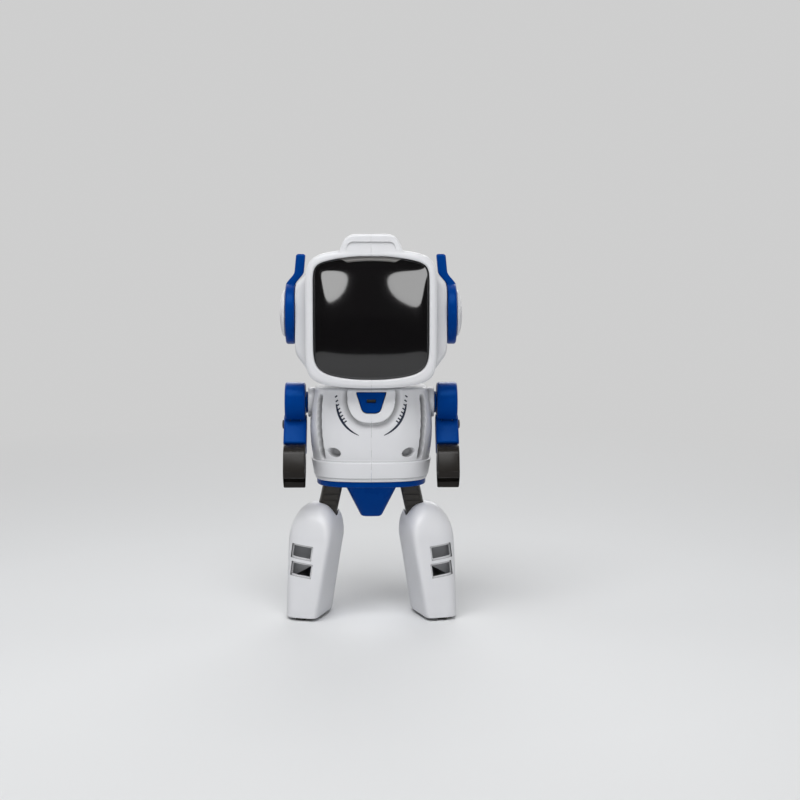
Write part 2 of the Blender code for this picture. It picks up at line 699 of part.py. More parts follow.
def make_eyes(board_green, lamp_clear):
    """The lamp board behind the visor and its eight lamps."""
    middle = (VISOR_LOW_Z + VISOR_HIGH_Z) / 2
    front = HEAD_FRONT_Y + FRONT_WALL + VISOR_THICKNESS + EYE_BOARD_SETBACK
    half_width = HEAD_HALF_WIDTH - RIM_STEP - SHELL_WALL - CLEARANCE
    low = (-half_width, front, middle - EYE_BOARD_HALF_HEIGHT)
    high = (half_width, front + EYE_BOARD_THICKNESS, middle + EYE_BOARD_HALF_HEIGHT)
    dress(block("eye_board", low, high), board_green)
    base = front - CLEARANCE
    half_pad = EYE_LAMP_PITCH / 2 + EYE_LAMP_RADIUS
    for side_name, side in SIDES:
        pad_low = (side * EYE_X - half_pad, base - EYE_PAD_THICKNESS, middle - half_pad)
        pad_high = (side * EYE_X + half_pad, base, middle + half_pad)
        eye = block(f"{side_name}_eye_lamps", pad_low, pad_high)
        for column in (-1, 1):
            for row in (-1, 1):
                place = (side * EYE_X + column * EYE_LAMP_PITCH / 2, middle + row * EYE_LAMP_PITCH / 2)
                profile = (
                    (EYE_LAMP_RADIUS, base - EYE_PAD_THICKNESS / 2),
                    (EYE_LAMP_RADIUS, base - EYE_LAMP_SHOULDER),
                    (EYE_LAMP_RADIUS / 2, base - EYE_LAMP_HEIGHT),
                )
                boolean(eye, "UNION", turned("lamp", profile, 1, place, SMALL_SIDES))
        dress(eye, lamp_clear)


def make_ear(side_name, side, blue, white):
    """An ear disc with its leaning fin, and the domed cap on it."""
    inner = PAD_FACE_X + CLEARANCE
    outer = inner + EAR_THICKNESS
    centre = (EAR_Y, EAR_Z)
    profile = (
        (EAR_SPIGOT_RADIUS, side * (PAD_FACE_X - EAR_SPIGOT_LENGTH)),
        (EAR_SPIGOT_RADIUS, side * inner),
        (EAR_RADIUS - EAR_ROUND, side * inner),
        (EAR_RADIUS, side * (inner + EAR_ROUND)),
        (EAR_RADIUS, side * (outer - EAR_ROUND)),
        (EAR_RADIUS - EAR_ROUND, side * outer),
    )
    disc = turned(f"{side_name}_ear_disc", profile, 0, centre)
    middle = (inner + outer) / 2
    steps = (
        (EAR_Z, 0.0, FIN_BASE_DEPTH, 1.0),
        (PAD_HIGH_Z - PAD_CHAMFER_HIGH, 0.0, FIN_BASE_DEPTH, 1.0),
        (FIN_TOP_Z - FIN_ROUND, FIN_LEAN, FIN_TOP_DEPTH, 1.0),
        (FIN_TOP_Z, FIN_LEAN, FIN_TOP_DEPTH, FIN_TIP_SCALE),
    )
    rings = []
    for z, lean, depth, scale in steps:
        half_x, half_y = scale * FIN_THICKNESS / 2, scale * depth / 2
        corners = ((-half_x, -half_y), (half_x, -half_y), (half_x, half_y), (-half_x, half_y))
        outline = rounded(corners, scale * FIN_EDGE_ROUND, 2)
        rings.append([(side * (middle - lean) + x, EAR_Y + y, z) for x, y in outline])
    boolean(disc, "UNION", loft("fin", rings))
    dress(disc, blue)
    cap_base = outer + CLEARANCE
    cap_profile = []
    for degrees in EAR_CAP_STEPS:
        turn = radians(degrees)
        rise = EAR_CAP_HEIGHT * sin(turn) / sin(radians(EAR_CAP_STEPS[-1]))
        cap_profile.append((EAR_CAP_RADIUS * cos(turn), side * (cap_base + rise)))
    dress(turned(f"{side_name}_ear_cap", cap_profile, 0, centre), white)


def make_neck(dark):
    """The flanged neck post that the torso holds and the helmet turns on."""
    flange = NECK_RADIUS + NECK_FLANGE
    low = TORSO_TOP_Z - TORSO_TOP_WALL - CLEARANCE
    high = neck_seat() + CLEARANCE
    profile = (
        (flange, low - NECK_FLANGE_THICKNESS),
        (flange, low),
        (NECK_RADIUS, low),
        (NECK_RADIUS, high),
        (flange, high),
        (flange, high + NECK_FLANGE_THICKNESS),
    )
    return dress(turned("neck_post", profile, 2, (0.0, 0.0)), dark)


def torso_size(z):
    """Half width and half depth of the torso at a height, on a smooth curve through three levels."""
    levels = (TORSO_TOP_Z - TORSO_ROUND, TORSO_BULGE_Z, BELT_TOP_Z)
    weights = []
    for level in levels:
        weight = 1.0
        for other in levels:
            if other != level:
                weight *= (z - other) / (level - other)
        weights.append(weight)
    widths = (TORSO_TOP_HALF_WIDTH, TORSO_BULGE_HALF_WIDTH, TORSO_LOW_HALF_WIDTH)
    depths = (TORSO_TOP_HALF_DEPTH, TORSO_BULGE_HALF_DEPTH, TORSO_LOW_HALF_DEPTH)
    half_width = sum(weight * width for weight, width in zip(weights, widths))
    half_depth = sum(weight * depth for weight, depth in zip(weights, depths))
    return half_width, half_depth


def torso_ring(z, grow):
    """One level torso section, grown all round."""
    half_width, half_depth = torso_size(max(z, BELT_TOP_Z))
    return level_ring(z, half_width + grow, half_depth + grow, TORSO_SQUARENESS)


def torso_levels(high):
    """Heights at which the torso's side is drawn, from the belt up."""
    return [BELT_TOP_Z + (high - BELT_TOP_Z) * step / TORSO_STEPS for step in range(TORSO_STEPS + 1)]


def torso_outside(grow=0.0):
    """The torso's outer form with its belt and lip, grown all round."""
    lip = BELT_PROUD - BELT_TAPER - BELT_LIP_INSET
    rings = [
        torso_ring(BELT_LIP_Z, grow + lip),
        torso_ring(BELT_LOW_Z, grow + lip),
        torso_ring(BELT_LOW_Z, grow + BELT_PROUD - BELT_TAPER),
        torso_ring(BELT_TOP_Z, grow + BELT_PROUD),
    ]
    shoulder = TORSO_TOP_Z - TORSO_ROUND
    rings += [torso_ring(z, grow) for z in torso_levels(shoulder)]
    soft = EDGE_SOFTNESS * TORSO_ROUND
    for z, inset in ((TORSO_TOP_Z - soft, soft), (TORSO_TOP_Z, TORSO_ROUND)):
        half_width, half_depth = torso_size(shoulder)
        rings.append(level_ring(z, half_width + grow - inset, half_depth + grow - inset, TORSO_SQUARENESS))
    return loft("torso", rings)


def torso_inside():
    """The hollow of the torso, with shoulder seats and screw bosses left standing."""
    below = torso_ring(BELT_LIP_Z - SHELL_WALL, -SHELL_WALL)
    levels = torso_levels(TORSO_TOP_Z - TORSO_TOP_WALL)
    hollow = loft("hollow", [below] + [torso_ring(z, -SHELL_WALL) for z in levels])
    for _, side in SIDES:
        near, far = sorted((side * SHOULDER_SEAT_X, side * PAD_FACE_X))
        boolean(hollow, "DIFFERENCE", rod("seat", 0, (0.0, SHOULDER_Z), SHOULDER_BOSS_RADIUS, near, far))
    for place in TORSO_SCREW_PLACES:
        boss = rod("boss", 0, place, SCREW_BOSS_RADIUS, -PAD_FACE_X, PAD_FACE_X, SMALL_SIDES)
        boolean(hollow, "DIFFERENCE", boss)
    return hollow


def bib_outline():
    """The U of the chest bib, seen from the front."""
    points = [(BIB_HALF_WIDTH, TORSO_TOP_Z - BIB_PROUD), (-BIB_HALF_WIDTH, TORSO_TOP_Z - BIB_PROUD)]
    for a, b in superellipse(BIB_HALF_WIDTH, BIB_HEIGHT, BIB_SQUARENESS):
        if b < 0:
            points.append((a, BIB_TOP_Z + b))
    return points


def window_outline(grow):
    """The tapered chest window, seen from the front."""
    top, low = WINDOW_TOP_Z + grow, WINDOW_LOW_Z - grow
    wide, narrow = WINDOW_TOP_HALF_WIDTH + grow, WINDOW_LOW_HALF_WIDTH + grow
    return rounded(((-narrow, low), (narrow, low), (wide, top), (-wide, top)), WINDOW_ROUND)


def door_outline(grow):
    """The battery door, seen from the back."""
    wide, low, high = DOOR_HALF_WIDTH + grow, DOOR_LOW_Z - grow, DOOR_HIGH_Z + grow
    return rounded(((-wide, low), (wide, low), (wide, high), (-wide, high)), DOOR_ROUND)


def groove_outline(side):
    """The curved groove beside the chest, seen from the front."""
    inner, outer = [], []
    for step in range(GROOVE_STEPS + 1):
        share = step / GROOVE_STEPS
        z = GROOVE_LOW_Z + (GROOVE_TOP_Z - GROOVE_LOW_Z) * share
        x = GROOVE_LOW_X + (GROOVE_TOP_X - GROOVE_LOW_X) * share + GROOVE_BOW * 4 * share * (1 - share)
        inner.append((side * (x - GROOVE_WIDTH / 2), z))
        outer.append((side * (x + GROOVE_WIDTH / 2), z))
    return inner + outer[::-1]


def front_cut(outline, depth):
    """A cutter that sinks an outline into the torso's front by a depth."""
    cutter = prism("front_cut", outline, 1, -PAD_FACE_X, 0.0)
    return boolean(cutter, "DIFFERENCE", torso_outside(-depth))


def make_torso(white):
    """The torso shell with bib, grooves, dimples and openings, split at the middle seam."""
    bib = boolean(torso_outside(BIB_PROUD), "INTERSECT", prism("bib", bib_outline(), 1, -PAD_FACE_X, 0.0))
    shell = boolean(torso_outside(), "UNION", bib)
    for _, side in SIDES:
        near, far = sorted((side * SHOULDER_SEAT_X, side * SHOULDER_BOSS_FACE_X))
        boss = rod("shoulder_boss", 0, (0.0, SHOULDER_Z), SHOULDER_BOSS_RADIUS, near, far)
        boolean(shell, "UNION", boss)
        dimple = [(side * DIMPLE_X + a, DIMPLE_Z + b) for a, b in dimple_outline()]
        for outline in (groove_outline(side), dimple):
            boolean(shell, "DIFFERENCE", front_cut(outline, GROOVE_DEPTH))
    boolean(shell, "DIFFERENCE", torso_inside())
    pocket = WINDOW_POCKET - TORSO_TOP_HALF_DEPTH
    openings = [
        prism("window_opening", window_outline(CLEARANCE), 1, -PAD_FACE_X, pocket),
        prism("door_opening", door_outline(CLEARANCE), 1, 0.0, PAD_FACE_X),
        block("switch_slot", *switch_slot()),
        rod("neck_hole", 2, (0.0, 0.0), NECK_RADIUS + CLEARANCE, SHOULDER_Z, HEAD_LOW_Z),
        rod("axle_hole", 0, (0.0, SHOULDER_Z), SHOULDER_AXLE_RADIUS + CLEARANCE, -PAD_FACE_X, PAD_FACE_X),
    ]
    boolean(shell, "DIFFERENCE", *openings)
    bore_for_screws(shell, TORSO_SCREW_PLACES, PAD_FACE_X)
    return split_halves("torso", shell, white)


def dimple_outline():
    """The oval dimple on the lower chest."""
    return superellipse(DIMPLE_HALF_WIDTH, DIMPLE_HALF_HEIGHT, 2.0, PIN_SIDES)


def make_chest_window(blue, dark):
    """The blue chest window and the remote-control receiver in its slot."""
    cut = prism("cut", window_outline(0.0), 1, -PAD_FACE_X, 0.0)
    window = boolean(torso_outside(WINDOW_PROUD), "INTERSECT", cut)
    boolean(window, "DIFFERENCE", torso_outside(-SHELL_WALL))
    wide, tall = RECEIVER_HALF_WIDTH, RECEIVER_HALF_HEIGHT
    front = -torso_size(RECEIVER_Z)[1] - WINDOW_PROUD
    slot_low = (-wide - CLEARANCE, front - MM, RECEIVER_Z - tall - CLEARANCE)
    slot_high = (wide + CLEARANCE, 0.0, RECEIVER_Z + tall + CLEARANCE)
    boolean(window, "DIFFERENCE", block("slot", slot_low, slot_high))
    window.name = "chest_window"
    dress(window, blue)
    lens_front = front + RECEIVER_RECESS
    lens_low = (-wide, lens_front, RECEIVER_Z - tall)
    lens_high = (wide, lens_front + RECEIVER_DEPTH, RECEIVER_Z + tall)
    dress(block("receiver", lens_low, lens_high), dark)


def battery_levels():
    """Height of each cell, with the stack centred on the door."""
    middle = (DOOR_LOW_Z + DOOR_HIGH_Z) / 2
    pitch = 2 * CELL_RADIUS + CLEARANCE
    return [middle + (index - (CELL_COUNT - 1) / 2) * pitch for index in range(CELL_COUNT)]


def battery_front():
    """The front face of the battery box."""
    return BATTERY_BACK_Y - 2 * CELL_RADIUS - 2 * CLEARANCE - CELL_WALL


def spigot_top():
    """The top of the pelvis spigot inside the torso."""
    return BELT_LIP_Z + PELVIS_SPIGOT_HEIGHT


def make_battery(dark, cell_wrap, white, steel):
    """The open battery box on its feet, the cells, the door and the door screw."""
    levels = battery_levels()
    pocket = CELL_RADIUS + CLEARANCE
    half_length = CELL_LENGTH / 2 + CLEARANCE
    low = (-half_length - CELL_WALL, battery_front(), levels[0] - pocket - CELL_WALL)
    high = (half_length + CELL_WALL, BATTERY_BACK_Y, levels[-1] + pocket + CELL_WALL)
    box = block("battery_box", low, high)
    inside_low = (-half_length, battery_front() + CELL_WALL, levels[0] - pocket)
    inside_high = (half_length, BATTERY_BACK_Y + MM, levels[-1] + pocket)
    boolean(box, "DIFFERENCE", block("pocket", inside_low, inside_high))
    for side in (-1, 1):
        near, far = sorted((side * (half_length - BATTERY_FOOT_WIDTH), side * half_length))
        foot_low = (near, battery_front() + CELL_WALL / 2, spigot_top() + CLEARANCE)
        foot_high = (far, BATTERY_BACK_Y - CELL_WALL / 2, low[2] + CELL_WALL / 2)
        boolean(box, "UNION", block("foot", foot_low, foot_high))
    dress(box, dark)
    y = battery_front() + CELL_WALL + pocket
    for index, z in enumerate(levels, 1):
        half = CELL_LENGTH / 2
        dress(rod(f"battery_cell_{index}", 0, (y, z), CELL_RADIUS, -half, half, PIN_SIDES), cell_wrap)
    door = boolean(torso_outside(), "INTERSECT", prism("cut", door_outline(0.0), 1, 0.0, PAD_FACE_X))
    boolean(door, "DIFFERENCE", torso_outside(-DOOR_THICKNESS))
    door.name = "battery_door"
    screw_z = DOOR_LOW_Z + DOOR_SCREW_RISE
    face = torso_size(screw_z)[1]
    seat = face - DOOR_SCREW_SINK
    boss_low, boss_high = seat - SCREW_BOSS_RADIUS, face - DOOR_THICKNESS / 2
    boss = rod("boss", 1, (0.0, screw_z), SCREW_BOSS_RADIUS, boss_low, boss_high, SMALL_SIDES)
    boolean(door, "UNION", boss)
    head = SCREW_HEAD_RADIUS + CLEARANCE
    boolean(door, "DIFFERENCE", rod("head_bore", 1, (0.0, screw_z), head, seat, face + MM, SMALL_SIDES))
    shank = SCREW_RADIUS + CLEARANCE
    boolean(door, "DIFFERENCE", rod("shank_bore", 1, (0.0, screw_z), shank, 0.0, face, SMALL_SIDES))
    dress(door, white)
    tip = BATTERY_BACK_Y + CLEARANCE
    profile = (
        (SCREW_HEAD_RADIUS, seat + CLEARANCE + SCREW_HEAD_HEIGHT),
        (SCREW_HEAD_RADIUS, seat + CLEARANCE),
        (SCREW_RADIUS, seat + CLEARANCE),
        (SCREW_RADIUS, tip),
    )
    dress(turned("battery_door_screw", profile, 1, (0.0, screw_z), SMALL_SIDES), steel)


def make_electrics(board_green, dark):
    """The main board on the battery box, and the speaker on the pelvis spigot."""
    levels = battery_levels()
    back = battery_front() - CLEARANCE
    front = back - BOARD_THICKNESS
    low_z, high_z = levels[0] - CELL_RADIUS, levels[-1] + CELL_RADIUS
    board = block("main_board", (-BOARD_HALF_WIDTH, front, low_z), (BOARD_HALF_WIDTH, back, high_z))
    middle = (low_z + high_z) / 2
    chip_low = (-CHIP_HALF_SIZE, front - CHIP_HEIGHT, middle - CHIP_HALF_SIZE)
    chip_high = (CHIP_HALF_SIZE, front + BOARD_THICKNESS / 2, middle + CHIP_HALF_SIZE)
    boolean(board, "UNION", block("chip", chip_low, chip_high))
    dress(board, board_green)
    base = spigot_top() + CLEARANCE
    frame_z, top = base + SPEAKER_HEIGHT - SPEAKER_RIM_HEIGHT, base + SPEAKER_HEIGHT
    profile = (
        (SPEAKER_MAGNET_RADIUS, base),
        (SPEAKER_MAGNET_RADIUS, frame_z - SPEAKER_RIM_HEIGHT),
        (SPEAKER_RADIUS, frame_z),
        (SPEAKER_RADIUS, top),
        (SPEAKER_RADIUS - SPEAKER_RIM_HEIGHT, top),
        (SPEAKER_CONE_RADIUS, top - SPEAKER_CONE_DEPTH),
    )
    y = battery_front() - CLEARANCE - SPEAKER_RADIUS
    dress(turned("speaker", profile, 2, (0.0, y)), dark)


def switch_slot():
    """Corners of the slot that the power switch knob slides in."""
    wide, tall = SWITCH_KNOB_HALF_WIDTH + CLEARANCE, SWITCH_KNOB_HALF_HEIGHT + CLEARANCE
    low = (SWITCH_X - wide, BATTERY_BACK_Y, SWITCH_Z - tall)
    high = (SWITCH_X + SWITCH_TRAVEL + wide, PAD_FACE_X, SWITCH_Z + tall)
    return low, high


def make_power_switch(dark):
    """The slide switch behind the belt and its knob, which stands at off."""
    reach = SWITCH_TRAVEL + SWITCH_KNOB_HALF_WIDTH + SHELL_WALL
    far_x = SWITCH_X + reach
    half_width, half_depth = TORSO_LOW_HALF_WIDTH - SHELL_WALL, TORSO_LOW_HALF_DEPTH - SHELL_WALL
    curve = (1 - (far_x / half_width) ** TORSO_SQUARENESS) ** (1 / TORSO_SQUARENESS)
    back = half_depth * curve - CLEARANCE
    low = (SWITCH_X - SWITCH_KNOB_HALF_WIDTH - SHELL_WALL, back - SWITCH_BODY_DEPTH, spigot_top() + CLEARANCE)
    high = (far_x, back, BELT_TOP_Z - CLEARANCE)
    dress(block("power_switch_body", low, high), dark)
    parent = pivot("power_switch_slide", (SWITCH_X, back, SWITCH_Z))
    proud = TORSO_LOW_HALF_DEPTH + BELT_PROUD + SWITCH_KNOB_PROUD - back
    wide, tall = SWITCH_KNOB_HALF_WIDTH, SWITCH_KNOB_HALF_HEIGHT
    dress(block("power_switch_knob", (-wide, CLEARANCE, -tall), (wide, proud, tall)), dark, parent)


def arm_x():
    """The middle plane of an arm, outside its shoulder disc."""
    return SHOULDER_BOSS_FACE_X + SHOULDER_DISC_THICKNESS + 2 * CLEARANCE + HUB_WIDTH / 2


def ring_plate(name, centre, outer, inner, low, high):
    """A flat washer across X."""
    plate = rod(name, 0, centre, outer, low, high)
    return boolean(plate, "DIFFERENCE", rod("bore", 0, centre, inner, low - MM, high + MM))


def tongue_outline():
    """The elbow tongue below the hub, seen from the side."""
    points = [(KNUCKLE_RADIUS, 0.0), (-KNUCKLE_RADIUS, 0.0)]
    for step in range(9):
        turn = pi + step / 8 * pi
        points.append((KNUCKLE_RADIUS * cos(turn), KNUCKLE_RADIUS * sin(turn) - UPPER_ARM_LENGTH))
    return points


def forearm_outline():
    """The forearm, seen from the side: a round knuckle that widens to the wrist."""
    half_end = FOREARM_END_DEPTH / 2
    points = [(-half_end, -FOREARM_LENGTH), (half_end, -FOREARM_LENGTH)]
    for step in range(9):
        turn = step / 8 * pi
        points.append((KNUCKLE_RADIUS * cos(turn), KNUCKLE_RADIUS * sin(turn)))
    return points


def make_shoulder(side_name, side, blue, steel):
    """The disc outside the torso boss, and the clip that keeps the arm's axle in."""
    bore = SHOULDER_AXLE_RADIUS + CLEARANCE
    centre = (0.0, SHOULDER_Z)
    near = SHOULDER_BOSS_FACE_X + CLEARANCE
    low, high = sorted((side * near, side * (near + SHOULDER_DISC_THICKNESS)))
    dress(ring_plate(f"{side_name}_shoulder_disc", centre, SHOULDER_DISC_RADIUS, bore, low, high), blue)
    parent = pivot(f"{side_name}_shoulder_axis", (side * arm_x(), 0.0, SHOULDER_Z))
    clip = SHOULDER_SEAT_X - CLEARANCE - arm_x()
    low, high = sorted((side * clip, side * (clip - SHOULDER_CLIP_THICKNESS)))
    washer = ring_plate(f"{side_name}_shoulder_clip", (0.0, 0.0), SHOULDER_CLIP_RADIUS, bore, low, high)
    dress(washer, steel, parent)
    return parent


def make_upper_arm(side_name, side, parent, blue):
    """The round shoulder hub with its axle and the elbow tongue."""
    half = HUB_WIDTH / 2
    circle = superellipse(HUB_RADIUS, HUB_RADIUS, 2.0, ROUND_SIDES)
    arm = prism(f"{side_name}_upper_arm", circle, 0, -half, half, ARM_ROUND)
    elbow = (0.0, -UPPER_ARM_LENGTH)
    for way in (-1, 1):
        low, high = sorted((way * TONGUE_WIDTH / 2, way * HUB_WIDTH))
        boolean(arm, "DIFFERENCE", rod("cheek_room", 0, elbow, KNUCKLE_RADIUS + ELBOW_RELIEF, low, high))
    boolean(arm, "UNION", prism("tongue", tongue_outline(), 0, -TONGUE_WIDTH / 2, TONGUE_WIDTH / 2))
    pin = ELBOW_PIN_RADIUS + CLEARANCE
    boolean(arm, "DIFFERENCE", rod("pin_bore", 0, elbow, pin, -half, half, PIN_SIDES))
    end = SHOULDER_SEAT_X - 2 * CLEARANCE - SHOULDER_CLIP_THICKNESS - arm_x()
    low, high = sorted((side * end, -side * (half - ARM_ROUND)))
    boolean(arm, "UNION", rod("axle", 0, (0.0, 0.0), SHOULDER_AXLE_RADIUS, low, high, PIN_SIDES))
    dress(arm, blue, parent)


def make_elbow_pin(side_name, side, parent, dark):
    """The headed pin through the elbow, held by the tongue."""
    outside = FOREARM_WIDTH / 2 + CLEARANCE
    profile = (
        (ELBOW_PIN_RADIUS, -side * FOREARM_WIDTH / 2),
        (ELBOW_PIN_RADIUS, side * outside),
        (ELBOW_PIN_HEAD_RADIUS, side * outside),
        (ELBOW_PIN_HEAD_RADIUS, side * (outside + ELBOW_PIN_HEAD_HEIGHT)),
    )
    dress(turned(f"{side_name}_elbow_pin", profile, 0, (0.0, -UPPER_ARM_LENGTH), PIN_SIDES), dark, parent)


def make_forearm(side_name, parent, blue):
    """The forked forearm, bored for the pin and for the claw's shank."""
    half = FOREARM_WIDTH / 2
    arm = prism(f"{side_name}_forearm", forearm_outline(), 0, -half, half, ARM_ROUND)
    room = TONGUE_WIDTH / 2 + CLEARANCE
    floor = -KNUCKLE_RADIUS - 2 * CLEARANCE
    reach = HUB_RADIUS
    boolean(arm, "DIFFERENCE", block("fork", (-room, -reach, floor), (room, reach, reach)))
    pin = ELBOW_PIN_RADIUS + CLEARANCE
    boolean(arm, "DIFFERENCE", rod("pin_bore", 0, (0.0, 0.0), pin, -half - MM, half + MM, PIN_SIDES))
    top = WRIST_LENGTH + CLEARANCE - FOREARM_LENGTH
    wrist = WRIST_RADIUS + CLEARANCE
    boolean(arm, "DIFFERENCE", rod("wrist_bore", 2, (0.0, 0.0), wrist, -FOREARM_LENGTH - MM, top, PIN_SIDES))
    dress(arm, blue, parent)


def make_claw(side_name, parent, dark):
    """The open-jawed claw on its shank."""
    half = CLAW_WIDTH / 2
    outline = [(y, z - CLAW_REACH) for y, z in superellipse(CLAW_RADIUS, CLAW_RADIUS, 2.0, ROUND_SIDES)]
    claw = prism(f"{side_name}_claw", outline, 0, -half, half, ARM_ROUND)
    slot = CLAW_SLOT_WIDTH / 2
    tip_z = -CLAW_REACH - CLAW_TIP_REACH
    for way in (-1, 1):
        jaw = (
            (way * slot / 2, -CLAW_REACH),
            (way * (CLAW_RADIUS - CLEARANCE), -CLAW_REACH),
            (way * (slot + CLAW_TIP_WIDTH), tip_z),
            (way * slot / 2, tip_z),
        )
        boolean(claw, "UNION", prism("jaw", jaw, 0, -half + ARM_ROUND, half - ARM_ROUND))
    floor = CLAW_SLOT_FLOOR - CLAW_REACH
    boolean(claw, "DIFFERENCE", block("slot", (-HUB_WIDTH, -slot, 2 * tip_z), (HUB_WIDTH, slot, floor)))
    face = -FOREARM_LENGTH - CLEARANCE
    boolean(claw, "DIFFERENCE", block("top", (-HUB_WIDTH, -HUB_WIDTH, face), (HUB_WIDTH, HUB_WIDTH, 0.0)))
    shank_top = WRIST_LENGTH - FOREARM_LENGTH
    root = floor + SHELL_WALL
    boolean(claw, "UNION", rod("shank", 2, (0.0, 0.0), WRIST_RADIUS, root, shank_top, PIN_SIDES))
    dress(claw, dark, parent)


def make_arm(side_name, side, blue, dark, steel):
    """One arm: shoulder, upper arm, elbow pin, forearm and claw."""
    shoulder = make_shoulder(side_name, side, blue, steel)
    make_upper_arm(side_name, side, shoulder, blue)
    make_elbow_pin(side_name, side, shoulder, dark)
    place = (0.0, 0.0, -UPPER_ARM_LENGTH)
    elbow = pivot(f"{side_name}_elbow_axis", place, shoulder, (-ELBOW_REST_ANGLE, 0.0, 0.0))
    make_forearm(side_name, elbow, blue)
    make_claw(side_name, elbow, dark)


def pelvis_low():
    """The underside of the pelvis rim, which the legs hang from."""
    return BELT_LIP_Z - CLEARANCE - PELVIS_RIM_THICKNESS


def make_pelvis(blue):
    """The pelvis: a spigot in the torso, a rim under the belt and a wedge between the legs."""
    spigot = -SHELL_WALL - CLEARANCE
    rim = BELT_PROUD - BELT_TAPER - BELT_LIP_INSET - PELVIS_RIM_INSET
    rim_top, crotch_z = BELT_LIP_Z - CLEARANCE, pelvis_low() - CROTCH_HEIGHT
    rings = [
        torso_ring(spigot_top(), spigot),
        torso_ring(rim_top, spigot),
        torso_ring(rim_top, rim),
        torso_ring(pelvis_low(), rim),
        level_ring(pelvis_low(), CROTCH_TOP_HALF_WIDTH, CROTCH_TOP_HALF_DEPTH, LEG_SQUARENESS),
        level_ring(crotch_z, CROTCH_LOW_HALF_WIDTH, CROTCH_LOW_HALF_DEPTH, LEG_SQUARENESS),
    ]
    dress(loft("pelvis", rings), blue)


def sole_top():
    """The upper face of the soles."""
    return BOOT_LOW_Z + SOLE_THICKNESS


def motor_z():
    """The motor's axis, on top of the gearbox."""
    return sole_top() + GEARBOX_HEIGHT + 2 * CLEARANCE + MOTOR_RADIUS


def leg_ends():
    """The heights of a leg's lower and upper end."""
    return motor_z() + MOTOR_RADIUS + CLEARANCE, pelvis_low() - CLEARANCE


def leg_section(z):
    """How far out a leg stands at a height, and its half depth there."""
    low, high = leg_ends()
    share = (z - low) / (high - low)
    x = LEG_LOW_X + (LEG_TOP_X - LEG_LOW_X) * share
    return x, LEG_LOW_HALF_DEPTH + (LEG_HALF_DEPTH - LEG_LOW_HALF_DEPTH) * share


def leg_loft(name, side, grow, extra):
    """The leg's form, grown all round and lengthened at both ends."""
    low, high = leg_ends()
    rings = []
    for z in (low - extra, high + extra):
        x, half_depth = leg_section(z)
        rings.append(level_ring(z, LEG_HALF_WIDTH + grow, half_depth + grow, LEG_SQUARENESS, side * x))
    return loft(name, rings)


def leg_screw_seat(side):
    """The (x, z) place of a leg screw and the depth of its seat."""
    z = pelvis_low() - LEG_SCREW_DROP
    x, half_depth = leg_section(z)
    return (side * x, z), LEG_SCREW_SINK - half_depth


def make_leg(side_name, side, dark):
    """A leg with ribs across its front and a bore for its screw."""
    leg = leg_loft(f"{side_name}_leg", side, 0.0, 0.0)
    near, far = sorted((0.0, side * 2 * LEG_LOW_X))
    for index in range(LEG_RIB_COUNT):
        z = pelvis_low() - LEG_RIB_TOP_DROP - index * LEG_RIB_PITCH
        front = -leg_section(z)[1]
        low = (near, front - LEG_HALF_DEPTH, z - LEG_RIB_PITCH / 4)
        high = (far, front + LEG_RIB_DEPTH, z + LEG_RIB_PITCH / 4)
        boolean(leg, "DIFFERENCE", block("rib_gap", low, high))
    place, seat = leg_screw_seat(side)
    head, shank = SCREW_HEAD_RADIUS + CLEARANCE, SCREW_RADIUS + CLEARANCE
    boolean(leg, "DIFFERENCE", rod("head_bore", 1, place, head, seat - LEG_HALF_DEPTH, seat, SMALL_SIDES))
    end = seat + LEG_SCREW_LENGTH + CLEARANCE
    boolean(leg, "DIFFERENCE", rod("shank_bore", 1, place, shank, seat - MM, end, SMALL_SIDES))
    dress(leg, dark)


def make_leg_screw(side_name, side, steel):
    """The screw in the front of a leg."""
    place, seat = leg_screw_seat(side)
    seat -= CLEARANCE
    profile = (
        (SCREW_HEAD_RADIUS, seat - SCREW_HEAD_HEIGHT),
        (SCREW_HEAD_RADIUS, seat),
        (SCREW_RADIUS, seat),
        (SCREW_RADIUS, seat + LEG_SCREW_LENGTH),
    )
    dress(turned(f"{side_name}_leg_screw", profile, 1, place, SMALL_SIDES), steel)


def boot_ring(z, side, inset, swell=1.0):
    """One level boot section in the boot's own frame."""
    rise = min(1.0, (z - BOOT_LOW_Z) / (BOOT_WIDEST_Z - BOOT_LOW_Z))
    half_width = BOOT_SOLE_HALF_WIDTH + (BOOT_HALF_WIDTH - BOOT_SOLE_HALF_WIDTH) * rise
    toe = BOOT_TOE_LENGTH + (BOOT_HALF_LENGTH - BOOT_TOE_LENGTH) * rise ** 2
    heel = BOOT_HEEL_LENGTH + (BOOT_HALF_LENGTH - BOOT_HEEL_LENGTH) * rise ** 2
    half_length, middle = (toe + heel) / 2, (heel - toe) / 2
    lean = -side * BOOT_TOP_LEAN * (z - BOOT_LOW_Z) / (BOOT_TOP_Z - BOOT_LOW_Z)
    wide, long = (half_width - inset) * swell, (half_length - inset) * swell
    return level_ring(z, wide, long, BOOT_SQUARENESS, lean, middle)


def boot_loft(name, side, inset, low):
    """The boot's form, drawn in all round: straight below, a dome above."""
    rings = [boot_ring(low, side, inset)]
    for step in range(1, BOOT_STEPS + 1):
        rings.append(boot_ring(BOOT_LOW_Z + (BOOT_WIDEST_Z - BOOT_LOW_Z) * step / BOOT_STEPS, side, inset))
    rise = (BOOT_TOP_Z - inset - BOOT_WIDEST_Z) / sin(radians(BOOT_DOME_STEPS[-1]))
    for degrees in BOOT_DOME_STEPS:
        turn = radians(degrees)
        z = BOOT_WIDEST_Z + rise * sin(turn)
        rings.append(boot_ring(z, side, inset, cos(turn) ** BOOT_DOME_FULLNESS))
    return loft(name, rings)


